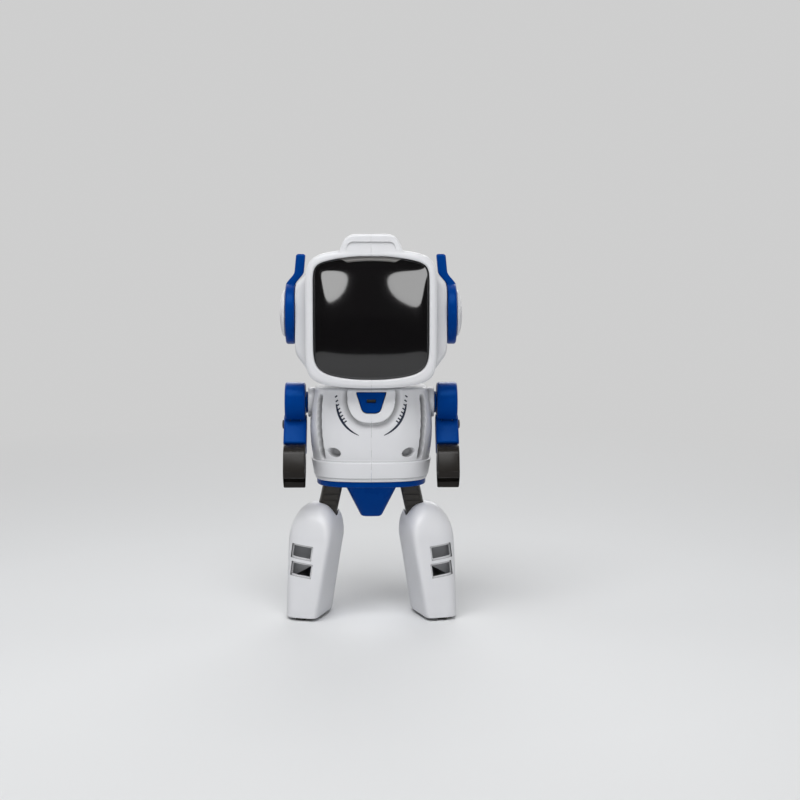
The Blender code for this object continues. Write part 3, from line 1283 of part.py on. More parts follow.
def make_boot(side_name, side, white):
    """A hollow boot with vents at the toe and an opening for the leg."""
    place = (side * BOOT_X, BOOT_Y, 0.0)
    frame = pivot(f"{side_name}_boot_frame", place, None, (0.0, 0.0, side * BOOT_TOE_OUT))
    boot = boot_loft(f"{side_name}_boot", side, 0.0, BOOT_LOW_Z)
    boolean(boot, "DIFFERENCE", boot_loft("hollow", side, SHELL_WALL, BOOT_LOW_Z - SHELL_WALL))
    for index in range(VENT_COUNT):
        z = VENT_LOW_Z + index * VENT_PITCH
        tilt = Matrix.Rotation(side * VENT_SLANT, 2)
        corners = []
        for a, b in ((-1, -1), (1, -1), (1, 1), (-1, 1)):
            corner = tilt @ Vector((a * VENT_HALF_WIDTH, b * VENT_HALF_HEIGHT))
            corners.append((corner.x - side * VENT_SHIFT, corner.y + z))
        boolean(boot, "DIFFERENCE", prism("vent", corners, 1, -2 * BOOT_HALF_LENGTH, -BOOT_HALF_LENGTH / 2))
    boot.parent = frame
    boolean(boot, "DIFFERENCE", leg_loft("leg_room", side, BOOT_ENTRY_CLEARANCE, BOOT_ENTRY_CLEARANCE))
    dress(boot, white)
    return frame


def make_sole(side_name, side, frame, dark):
    """The sole plate with a skid at each end and a slot for the wheel."""
    inset = SHELL_WALL + CLEARANCE
    rings = [boot_ring(z, side, inset) for z in (BOOT_LOW_Z, sole_top())]
    plate = loft(f"{side_name}_sole", rings)
    for y in SKID_PLACES:
        low = (-SKID_HALF_SIZE, y - SKID_HALF_SIZE, 0.0)
        high = (SKID_HALF_SIZE, y + SKID_HALF_SIZE, BOOT_LOW_Z + SOLE_THICKNESS / 2)
        boolean(plate, "UNION", block("skid", low, high))
    plate.parent = frame
    drop = WHEEL_RADIUS - sole_top()
    chord = (WHEEL_RADIUS ** 2 - drop ** 2) ** 0.5 + WHEEL_SLOT_GAP
    wide = WHEEL_WIDTH / 2 + WHEEL_SLOT_GAP
    low = (side * BOOT_X - wide, BOOT_Y - chord, -MM)
    high = (side * BOOT_X + wide, BOOT_Y + chord, 2 * sole_top())
    boolean(plate, "DIFFERENCE", block("wheel_slot", low, high))
    dress(plate, dark)


def make_drive(side_name, side, dark, steel):
    """The gearbox that stands on the sole beside the wheel, and the motor on top of it."""
    outer = BOOT_X - WHEEL_WIDTH / 2 - WHEEL_SLOT_GAP
    near, far = sorted((side * outer, side * (outer - GEARBOX_WIDTH)))
    middle = BOOT_Y + GEARBOX_SHIFT_Y
    base = sole_top() + CLEARANCE
    low = (near, middle - GEARBOX_HALF_LENGTH, base)
    high = (far, middle + GEARBOX_HALF_LENGTH, base + GEARBOX_HEIGHT)
    box = block(f"{side_name}_gearbox", low, high)
    axle, run = (BOOT_Y, WHEEL_RADIUS), AXLE_RADIUS + CLEARANCE
    boolean(box, "DIFFERENCE", rod("axle_bore", 0, axle, run, near - MM, far + MM, SMALL_SIDES))
    dress(box, dark)
    place = (side * (outer - GEARBOX_WIDTH / 2), motor_z())
    profile = (
        (MOTOR_RADIUS, middle - MOTOR_LENGTH / 2),
        (MOTOR_RADIUS, middle + MOTOR_LENGTH / 2 - MM),
        (AXLE_RADIUS, middle + MOTOR_LENGTH / 2 - MM),
        (AXLE_RADIUS, middle + MOTOR_LENGTH / 2),
    )
    dress(turned(f"{side_name}_motor", profile, 1, place, PIN_SIDES), steel)


def make_wheel(side_name, side, dark, rubber):
    """The drive wheel: a hub with its axle, and a tyre."""
    parent = pivot(f"{side_name}_wheel_axis", (side * BOOT_X, BOOT_Y, WHEEL_RADIUS))
    half = WHEEL_WIDTH / 2
    rim = WHEEL_RADIUS - TYRE_THICKNESS - CLEARANCE
    end = half + WHEEL_SLOT_GAP + GEARBOX_WIDTH
    profile = (
        (AXLE_RADIUS, -side * end),
        (AXLE_RADIUS, -side * half),
        (rim, -side * half),
        (rim, side * half),
        (rim - TYRE_THICKNESS / 2, side * half),
        (rim - TYRE_THICKNESS, side * half / 2),
        (2 * AXLE_RADIUS, side * half / 2),
        (2 * AXLE_RADIUS, side * half),
    )
    dress(turned(f"{side_name}_wheel_hub", profile, 0, (0.0, 0.0)), dark, parent)
    tyre = ring_plate(f"{side_name}_tyre", (0.0, 0.0), WHEEL_RADIUS, rim + CLEARANCE, -half, half)
    dress(tyre, rubber, parent)


def main():
    """Build the robot from head to wheels."""
    clear_scene()
    white = plastic("white_shell", (0.78, 0.78, 0.81), 0.32)
    gloss = plastic("visor_gloss", (0.004, 0.004, 0.005), 0.06)
    blue = plastic("blue_plastic", (0.002, 0.06, 0.36), 0.3)
    dark = plastic("dark_plastic", (0.03, 0.028, 0.025), 0.45)
    rubber = plastic("tyre_rubber", (0.015, 0.015, 0.015), 0.8)
    steel = plastic("steel", (0.6, 0.6, 0.62), 0.3, 1.0)
    board_green = plastic("circuit_board", (0.01, 0.12, 0.04), 0.5)
    lamp_clear = plastic("lamp_clear", (0.75, 0.85, 0.95), 0.15)
    cell_wrap = plastic("cell_wrap", (0.05, 0.05, 0.06), 0.35)

    make_helmet(white)
    make_visor(gloss)
    make_eyes(board_green, lamp_clear)
    make_screws("helmet_screw", helmet_screw_places(), steel)
    make_neck(dark)
    make_torso(white)
    make_screws("torso_screw", TORSO_SCREW_PLACES, steel)
    make_chest_window(blue, dark)
    make_battery(dark, cell_wrap, white, steel)
    make_electrics(board_green, dark)
    make_power_switch(dark)
    make_pelvis(blue)
    for side_name, side in SIDES:
        make_ear(side_name, side, blue, white)
        make_arm(side_name, side, blue, dark, steel)
        make_leg(side_name, side, dark)
        make_leg_screw(side_name, side, steel)
        frame = make_boot(side_name, side, white)
        make_sole(side_name, side, frame, dark)
        make_drive(side_name, side, dark, steel)
        make_wheel(side_name, side, dark, rubber)


main()
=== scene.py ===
"""Looks of a toy robot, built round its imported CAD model.

Each sub-assembly is a dataclass that holds its sizes, builds its meshes in the CAD frame (metres, +Z up, the
robot faces -Y, its right side is -X) and dresses them with a moulded finish.
"""

from __future__ import annotations

import json
import logging
from dataclasses import dataclass
from enum import Enum
from math import cos, pi, radians, sin

import bmesh
import bpy
import numpy as np
from bpy.types import Material, Node, NodeSocket, NodeTree, Object
from mathutils import Matrix, Vector

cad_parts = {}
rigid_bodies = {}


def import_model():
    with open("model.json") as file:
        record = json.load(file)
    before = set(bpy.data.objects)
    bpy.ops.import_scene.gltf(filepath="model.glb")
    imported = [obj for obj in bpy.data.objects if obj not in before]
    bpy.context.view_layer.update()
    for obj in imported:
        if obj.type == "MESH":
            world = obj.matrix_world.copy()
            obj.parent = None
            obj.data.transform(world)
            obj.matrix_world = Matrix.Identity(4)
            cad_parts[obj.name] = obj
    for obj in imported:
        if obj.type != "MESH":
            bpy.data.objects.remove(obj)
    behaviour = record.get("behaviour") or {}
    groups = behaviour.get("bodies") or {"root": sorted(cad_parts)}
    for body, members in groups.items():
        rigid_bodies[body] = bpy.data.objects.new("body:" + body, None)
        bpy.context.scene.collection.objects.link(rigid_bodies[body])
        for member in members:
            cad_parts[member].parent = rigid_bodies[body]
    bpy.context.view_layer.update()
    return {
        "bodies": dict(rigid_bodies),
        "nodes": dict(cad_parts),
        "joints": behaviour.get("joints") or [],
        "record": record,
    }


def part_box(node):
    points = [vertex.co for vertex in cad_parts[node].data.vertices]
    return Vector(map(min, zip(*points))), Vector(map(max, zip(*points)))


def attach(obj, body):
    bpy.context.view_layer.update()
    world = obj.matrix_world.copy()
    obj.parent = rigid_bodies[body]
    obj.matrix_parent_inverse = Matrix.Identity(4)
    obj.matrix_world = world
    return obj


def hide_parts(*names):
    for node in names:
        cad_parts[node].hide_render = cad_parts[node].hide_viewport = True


LOG = logging.getLogger("toy_robot")
MM = 0.001
GAP = 0.3 * MM
WALL = 1.8 * MM
SEAM_HALF_WIDTH = 0.04 * MM
FAR = 45.0 * MM
FINE = 144
TURNED = 96
BORE_SIDES = 48
SCREW_SIDES = 32
SHOULDER_HEIGHT = 115.5 * MM
EAR_CENTRE = (-3.0 * MM, 163.6 * MM)
HELMET_SCREWS = ((7.0 * MM, 155.6 * MM), (7.0 * MM, 171.6 * MM))
TORSO_SCREWS = ((-7.6 * MM, 109.2 * MM), (-6.0 * MM, 93.5 * MM))
DOOR_SCREW_HEIGHT = 92.0 * MM

Pair = tuple[float, float]
Point = tuple[float, float, float]
Ring = list[Point]
Outline = list[Pair]


class Side(Enum):
    """One of the robot's own sides."""

    RIGHT = -1
    LEFT = 1

    @property
    def label(self) -> str:
        """The side's name, as CAD nodes begin with it."""
        return self.name.lower()

    def outwards(self, profile: Outline) -> Outline:
        """A turned profile of (radius, reach), pointing to this side."""
        return [(radius, self.value * reach) for radius, reach in profile]


class Cut(Enum):
    """How one solid changes another."""

    JOIN = "UNION"
    REMOVE = "DIFFERENCE"
    KEEP = "INTERSECT"


class LampShape(Enum):
    """The outline of a lamp's face."""

    BOX = "RECTANGLE"
    OVAL = "ELLIPSE"


class Axis(Enum):
    """A frame axis, by its index."""

    X = 0
    Y = 1
    Z = 2

    def at(self, spot: Pair, level: float) -> Point:
        """The point at a level along the axis, with its place in the other two axes."""
        return (*spot[:self.value], level, *spot[self.value:])


class Mould(Enum):
    """How much of the front's relief a torso section follows."""

    PLAIN = 0
    SUNK = 1
    FULL = 2


def add_node(tree: NodeTree, kind: str, feeds: dict | None = None, **settings: object) -> Node:
    """Add a node to a tree.

    Args:
        tree: The node tree.
        kind: The node's type.
        feeds: For each input, by name or index, the socket to link to it or the value to set.
        settings: The node's own settings.

    Returns:
        The new node.
    """
    node = tree.nodes.new(kind)
    for label, value in settings.items():
        setattr(node, label, value)
    for label, value in (feeds or {}).items():
        if isinstance(value, NodeSocket):
            tree.links.new(value, node.inputs[label])
        else:
            node.inputs[label].default_value = value
    return node


class SkinGroup:
    """The shared shader node group that gives moulded plastic its tone, sheen and grain."""

    NAME = "moulded_skin"
    CLOUD_DETAIL = 4.0
    GRAIN_DETAIL = 2.0
    NOISE_MIDDLE = 0.5

    @classmethod
    def tree(cls) -> NodeTree:
        """Build the group once and give it to every caller.

        Returns:
            The node group.
        """
        if cls.NAME in bpy.data.node_groups:
            return bpy.data.node_groups[cls.NAME]
        tree = bpy.data.node_groups.new(cls.NAME, "ShaderNodeTree")
        face = tree.interface
        for label, kind in (("Vector", "NodeSocketVector"), ("Colour", "NodeSocketColor")):
            face.new_socket(label, in_out="INPUT", socket_type=kind)
        for label in ("Cloud Scale", "Tone Spread", "Roughness", "Roughness Spread", "Grain Scale"):
            face.new_socket(label, in_out="INPUT", socket_type="NodeSocketFloat")
        face.new_socket("Colour", in_out="OUTPUT", socket_type="NodeSocketColor")
        face.new_socket("Roughness", in_out="OUTPUT", socket_type="NodeSocketFloat")
        face.new_socket("Height", in_out="OUTPUT", socket_type="NodeSocketFloat")
        cls._wire(tree)
        return tree

    @staticmethod
    def _wire(tree: NodeTree) -> None:
        """Place and link the group's nodes.

        Args:
            tree: The empty group, with its sockets.
        """
        given = tree.nodes.new("NodeGroupInput").outputs
        noises = []
        layers = (("Cloud Scale", SkinGroup.CLOUD_DETAIL), ("Grain Scale", SkinGroup.GRAIN_DETAIL))
        for scale, detail in layers:
            feeds = {"Vector": given["Vector"], "Scale": given[scale], "Detail": detail}
            noises.append(add_node(tree, "ShaderNodeTexNoise", feeds).outputs["Fac"])
        feeds = {0: noises[0], 1: SkinGroup.NOISE_MIDDLE}
        centred = add_node(tree, "ShaderNodeMath", feeds, operation="SUBTRACT").outputs[0]
        feeds = {0: centred, 1: given["Tone Spread"], 2: 1.0}
        tone = add_node(tree, "ShaderNodeMath", feeds, operation="MULTIPLY_ADD").outputs[0]
        feeds = {0: given["Colour"], "Scale": tone}
        shade = add_node(tree, "ShaderNodeVectorMath", feeds, operation="SCALE").outputs[0]
        feeds = {0: centred, 1: given["Roughness Spread"], 2: given["Roughness"]}
        sheen = add_node(tree, "ShaderNodeMath", feeds, operation="MULTIPLY_ADD", use_clamp=True).outputs[0]
        add_node(tree, "NodeGroupOutput", {"Colour": shade, "Roughness": sheen, "Height": noises[1]})


@dataclass(frozen=True)
class Finish:
    """A moulded, printed or metal surface.

    Attributes:
        slot: The record's material slot.
        colour: Linear base colour.
        roughness: Middle roughness.
        roughness_spread: How much the sheen varies over the surface.
        tone_spread: How much the colour varies over the surface.
        cloud_scale: How fine the variation is, per metre.
        grain_scale: How fine the mould grain is, per metre.
        grain_depth: Depth of the mould grain, in metres.
        grain_strength: Strength of the mould grain.
        metallic: Metallic value.
        coat: Clear coat weight.
        coat_roughness: Roughness of the clear coat.
        specular: Specular level of the base.
        tint: Colour of the specular reflection seen straight on.
        cavity: How far round each crease and recess the base colour is darkened as painted shade, in metres
            (0 for none).
        label: The material's own name, where finishes share a slot.
    """

    slot: str
    colour: tuple[float, float, float]
    roughness: float
    roughness_spread: float = 0.12
    tone_spread: float = 0.06
    cloud_scale: float = 60.0
    grain_scale: float = 2600.0
    grain_depth: float = 0.02 * MM
    grain_strength: float = 0.6
    metallic: float = 0.0
    coat: float = 0.0
    coat_roughness: float = 0.08
    specular: float = 0.5
    tint: tuple[float, float, float] = (1.0, 1.0, 1.0)
    cavity: float = 0.0
    label: str = ""

    def material(self) -> Material:
        """Make the material once.

        Returns:
            The finished material.
        """
        name = f"{self.label or self.slot}_finish"
        if name in bpy.data.materials:
            return bpy.data.materials[name]
        material = bpy.data.materials.new(name)
        material.use_nodes = True
        tree = material.node_tree
        skin = add_node(tree, "ShaderNodeGroup", node_tree=SkinGroup.tree())
        tree.links.new(add_node(tree, "ShaderNodeTexCoord").outputs["Object"], skin.inputs["Vector"])
        values = {"Colour": (*self.colour, 1.0), "Tone Spread": self.tone_spread}
        values |= {"Roughness": self.roughness, "Roughness Spread": self.roughness_spread}
        values |= {"Cloud Scale": self.cloud_scale, "Grain Scale": self.grain_scale}
        for label, value in values.items():
            skin.inputs[label].default_value = value
        colour = skin.outputs["Colour"]
        # Painted shade: ambient occlusion darkens the base colour in creases and recesses, where shade falls.
        if self.cavity:
            feeds = {"Color": colour, "Distance": self.cavity}
            colour = add_node(tree, "ShaderNodeAmbientOcclusion", feeds, only_local=True).outputs["Color"]
        feeds = {"Height": skin.outputs["Height"], "Distance": self.grain_depth}
        bump = add_node(tree, "ShaderNodeBump", feeds | {"Strength": self.grain_strength})
        shader = tree.nodes["Principled BSDF"]
        tree.links.new(colour, shader.inputs["Base Color"])
        tree.links.new(skin.outputs["Roughness"], shader.inputs["Roughness"])
        tree.links.new(bump.outputs["Normal"], shader.inputs["Normal"])
        shader.inputs["Metallic"].default_value = self.metallic
        shader.inputs["Coat Weight"].default_value = self.coat
        shader.inputs["Coat Roughness"].default_value = self.coat_roughness
        shader.inputs["Specular IOR Level"].default_value = self.specular
        shader.inputs["Specular Tint"].default_value = (*self.tint, 1.0)
        return material


# The white shell's colour carries painted shade, darker in its creases and recesses.
SHELL_WHITE_WITH_PAINTED_SHADE = Finish("white_shell", (0.76, 0.765, 0.79), 0.34, tone_spread=0.05, coat=0.12, cavity=5.5 * MM)
VISOR_BLACK = Finish(
    "visor_gloss", (0.004, 0.0035, 0.004), 0.05, 0.03, 0.4, 25.0, grain_depth=0.0, coat=0.5, specular=1.0
)
BROW_GREY = Finish(
    "dark_plastic", (0.17, 0.165, 0.16), 0.35, tone_spread=0.25, grain_depth=0.01 * MM, label="brow_grey"
)
BLUE_GLOSS = Finish(
    "blue_plastic", (0.0004, 0.04, 0.235), 0.28, tone_spread=0.18, specular=0.2, tint=(0.06, 0.35, 1.0)
)
DARK_SATIN = Finish("dark_plastic", (0.033, 0.029, 0.024), 0.42, tone_spread=0.35, grain_depth=0.05 * MM)
CLAW_SATIN = Finish(
    "dark_plastic", (0.019, 0.0165, 0.0145), 0.24, tone_spread=0.45, grain_depth=0.03 * MM, specular=0.22,
    label="claw_satin",
)
# A grey that stands in for the shade inside the boot's vents: painted shade.
VENT_PAINTED_SHADE = Finish("dark_plastic", (0.29, 0.295, 0.31), 0.5, tone_spread=0.15, label="vent_grey")
PRINT_NAVY = Finish(
    "dark_plastic", (0.012, 0.02, 0.045), 0.4, tone_spread=0.3, grain_depth=0.0, label="print_navy"
)
TYRE_BLACK = Finish("tyre_rubber", (0.014, 0.014, 0.014), 0.78, tone_spread=0.4, grain_depth=0.08 * MM)
SCREW_STEEL = Finish("steel", (0.5, 0.52, 0.53), 0.32, tone_spread=0.25, metallic=1.0, grain_depth=0.01 * MM)
BOARD_GREEN = Finish("circuit_board", (0.01, 0.11, 0.04), 0.45, tone_spread=0.4, cloud_scale=300.0)
LAMP_CLEAR = Finish("lamp_clear", (0.72, 0.82, 0.92), 0.14, tone_spread=0.1)
CELL_WRAP = Finish("cell_wrap", (0.05, 0.05, 0.06), 0.3, tone_spread=0.2, metallic=0.4)


def section(exponent: float, count: int = FINE) -> Outline:
    """Points of a unit superellipse, half a step off its axes and closer at its corners.

    Args:
        exponent: 2 for a circle, more for a squarer outline.
        count: Number of points.

    Returns:
        The outline's points.
    """
    angles = 2 * pi * (np.arange(count) + 0.5) / count
    power = (2 / exponent) ** 0.5
    a, b = np.abs(np.cos(angles)) ** power, np.abs(np.sin(angles)) ** power
    reach = (a ** exponent + b ** exponent) ** (-1 / exponent)
    across, along = np.copysign(a * reach, np.cos(angles)), np.copysign(b * reach, np.sin(angles))
    return list(zip(across.tolist(), along.tolist()))


def ease(low: float, high: float, value: float) -> float:
    """A smooth step from 0 at low to 1 at high."""
    share = min(1.0, max(0.0, (value - low) / (high - low)))
    return share * share * (3 - 2 * share)


def even(start: float, end: float, count: int) -> list[float]:
    """Evenly spaced values from start to end, both included."""
    return [start + (end - start) * step / count for step in range(count + 1)]


def arc(radius: float, start: float, end: float, count: int, height: float = 0.0) -> Outline:
    """Points along an arc from one turn to another, its centre at a height."""
    return [(radius * cos(turn), height + radius * sin(turn)) for turn in even(start, end, count)]


def fillet(radius: float, steps: int) -> Outline:
    """Points along a rounded edge, from where it starts to where it ends.

    Args:
        radius: The edge's radius.
        steps: Number of chords.

    Returns:
        How far each point has come from the start, and how far it still is from the end.
    """
    turns = even(0.0, radians(90), steps)
    return [(radius * (1 - cos(turn)), radius * (1 - sin(turn))) for turn in turns]


def sweep(start: Vector, pull: Vector, end: Vector, share: float) -> Vector:
    """A point on the curve from start to end that is drawn towards pull."""
    return start * (1 - share) ** 2 + pull * 2 * share * (1 - share) + end * share ** 2


def rectangle(wide: Pair, tall: Pair) -> Outline:
    """The four corners between two limits each way."""
    return [(wide[0], tall[0]), (wide[1], tall[0]), (wide[1], tall[1]), (wide[0], tall[1])]


def trapezoid(halves: Pair, levels: Pair) -> Outline:
    """The corners of a symmetric outline with a half width at each of two levels."""
    return [(-halves[0], levels[0]), (halves[0], levels[0]), (halves[1], levels[1]), (-halves[1], levels[1])]


def rounded(corners: Outline, radius: float | list[float], steps: int = 8) -> Outline:
    """Draw the corners of an outline as short curves.

    Args:
        corners: The sharp outline.
        radius: How far from its corner each curve starts, one for all or one each (0 keeps a corner).
        steps: Number of chords in each curve.

    Returns:
        The rounded outline.
    """
    points: Outline = []
    for index, corner in enumerate(corners):
        reach = radius[index] if isinstance(radius, list) else radius
        here, before = Vector(corner), Vector(corners[index - 1])
        after = Vector(corners[(index + 1) % len(corners)])
        start = here + (before - here).normalized() * reach
        end = here + (after - here).normalized() * reach
        for step in range(steps + 1 if reach else 1):
            points.append(tuple(sweep(start, here, end, step / steps)))
    return points


class Solid:
    """A closed mesh object and the steps that make and change it."""

    RIM_ANGLE = radians(50)
    RIM_STEPS = 4
    HALF_REACH = 0.3

    @staticmethod
    def from_bmesh(name: str, mesh: bmesh.types.BMesh) -> Object:
        """Link a bmesh as an object with outward faces.

        Args:
            name: The object's name.
            mesh: The bmesh, which is used up.

        Returns:
            The new object.
        """
        bmesh.ops.recalc_face_normals(mesh, faces=mesh.faces)
        data = bpy.data.meshes.new(name)
        mesh.to_mesh(data)
        mesh.free()
        item = bpy.data.objects.new(name, data)
        bpy.context.scene.collection.objects.link(item)
        return item

    @staticmethod
    def skin(rings: list[Ring]) -> bmesh.types.BMesh:
        """Skin a row of rings and close both ends.

        Args:
            rings: Rings with the same number of points.

        Returns:
            The closed skin.
        """
        mesh = bmesh.new()
        loops = [[mesh.verts.new(point) for point in ring] for ring in rings]
        for near, far in zip(loops, loops[1:]):
            for index in range(len(near)):
                following = (index + 1) % len(near)
                mesh.faces.new((near[index], near[following], far[following], far[index]))
        mesh.faces.new(list(reversed(loops[0])))
        mesh.faces.new(loops[-1])
        return mesh

    @classmethod
    def loft(cls, name: str, rings: list[Ring]) -> Object:
        """The closed solid through a row of rings with the same number of points."""
        return cls.from_bmesh(name, cls.skin(rings))

    @classmethod
    def prism(
        cls, name: str, outline: Outline, axis: Axis, low: float, high: float, soft: float = 0.0
    ) -> Object:
        """Extrude an outline along an axis, with its two rims rounded.

        Args:
            name: The object's name.
            outline: Points in the other two axes, in order.
            axis: The axis to extrude along.
            low: Where the solid starts.
            high: Where it ends.
            soft: Radius of the rounded rims.

        Returns:
            The closed solid.
        """
        mesh = cls.skin([[axis.at(spot, level) for spot in outline] for level in (low, high)])
        bmesh.ops.recalc_face_normals(mesh, faces=mesh.faces)
        if soft:
            rims = [edge for edge in mesh.edges if edge.calc_face_angle(0.0) > cls.RIM_ANGLE]
            bmesh.ops.bevel(mesh, geom=rims, offset=soft, segments=cls.RIM_STEPS, profile=0.5, affect="EDGES")
        return cls.from_bmesh(name, mesh)

    @classmethod
    def box(cls, name: str, low: Point, high: Point, soft: float = 0.0) -> Object:
        """A box between two corners, with its edges rounded by soft."""
        outline = rectangle((low[0], high[0]), (low[1], high[1]))
        return cls.prism(name, outline, Axis.Z, low[2], high[2], soft)

    @classmethod
    def turned(
        cls, name: str, profile: Outline, axis: Axis, centre: Pair = (0.0, 0.0), sides: int = TURNED
    ) -> Object:
        """Turn a profile of (radius, height) steps about an axis.

        Args:
            name: The object's name.
            profile: The steps from one end to the other.
            axis: The axis to turn about.
            centre: The axis's place in the other two axes.
            sides: Number of points round the axis.

        Returns:
            The closed solid.
        """
        rings = []
        for radius, height in profile:
            circle = [(centre[0] + radius * a, centre[1] + radius * b) for a, b in section(2.0, sides)]
            rings.append([axis.at(spot, height) for spot in circle])
        return cls.loft(name, rings)

    @classmethod
    def rod(
        cls, name: str, radius: float, ends: Pair, axis: Axis, centre: Pair = (0.0, 0.0), sides: int = TURNED
    ) -> Object:
        """A plain round rod between two ends on an axis."""
        return cls.turned(name, [(radius, ends[0]), (radius, ends[1])], axis, centre, sides)

    @staticmethod
    def change(target: Object, how: Cut, *tools: Object) -> Object:
        """Join, cut or trim a solid with others, which are used up.

        Args:
            target: The solid that changes.
            how: The kind of change.
            tools: The solids that change it.

        Returns:
            The changed solid.
        """
        for tool in tools:
            step = target.modifiers.new("change", "BOOLEAN")
            step.operation, step.object, step.solver = how.value, tool, "MANIFOLD"
            Solid.bake(target)
            bpy.data.objects.remove(tool, do_unlink=True)
        return target

    @staticmethod
    def bake(target: Object) -> Object:
        """Keep what an object's modifiers make of it as its plain mesh.

        Args:
            target: The object.

        Returns:
            The same object, without modifiers.
        """
        bpy.context.view_layer.update()
        graph = bpy.context.evaluated_depsgraph_get()
        result = bpy.data.meshes.new_from_object(target.evaluated_get(graph))
        target.modifiers.clear()
        target.data = result
        return target

    @staticmethod
    def place(target: Object, matrix: Matrix) -> Object:
        """Move a solid's mesh, and leave its object at the origin."""
        target.data.transform(matrix)
        return target

    @classmethod
    def half(cls, whole: Object, side: Side, name: str) -> Object:
        """Keep one side of a solid, closed at the middle seam.

        Args:
            whole: The solid, which is kept.
            side: The side to keep.
            name: The new object's name.

        Returns:
            The half.
        """
        twin = bpy.data.objects.new(name, whole.data.copy())
        bpy.context.scene.collection.objects.link(twin)
        reach = cls.HALF_REACH
        near, far = sorted((side.value * SEAM_HALF_WIDTH, side.value * reach))
        return cls.change(twin, Cut.KEEP, cls.box("half", (near, -reach, -reach), (far, reach, reach)))


@dataclass
class Piece:
    """A finished piece and where it belongs.

    Attributes:
        item: The mesh object, in the CAD frame.
        body: The CAD body that it rides on.
        finish: Its surface.
        nodes: The CAD nodes that it stands for.
        crease: Edges sharper than this stay sharp.
    """

    item: Object
    body: str
    finish: Finish
    nodes: tuple[str, ...] = ()
    crease: float = radians(35)

    def settle(self) -> Object:
        """Dress the piece and hang it on its body.

        Returns:
            The piece's object.
        """
        data = self.item.data
        data.materials.clear()
        data.materials.append(self.finish.material())
        data.shade_smooth()
        data.set_sharp_from_angle(angle=self.crease)
        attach(self.item, self.body)
        if self.nodes:
            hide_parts(*self.nodes)
        LOG.info("%s: %d faces on %s", self.item.name, len(data.polygons), self.body)
        return self.item


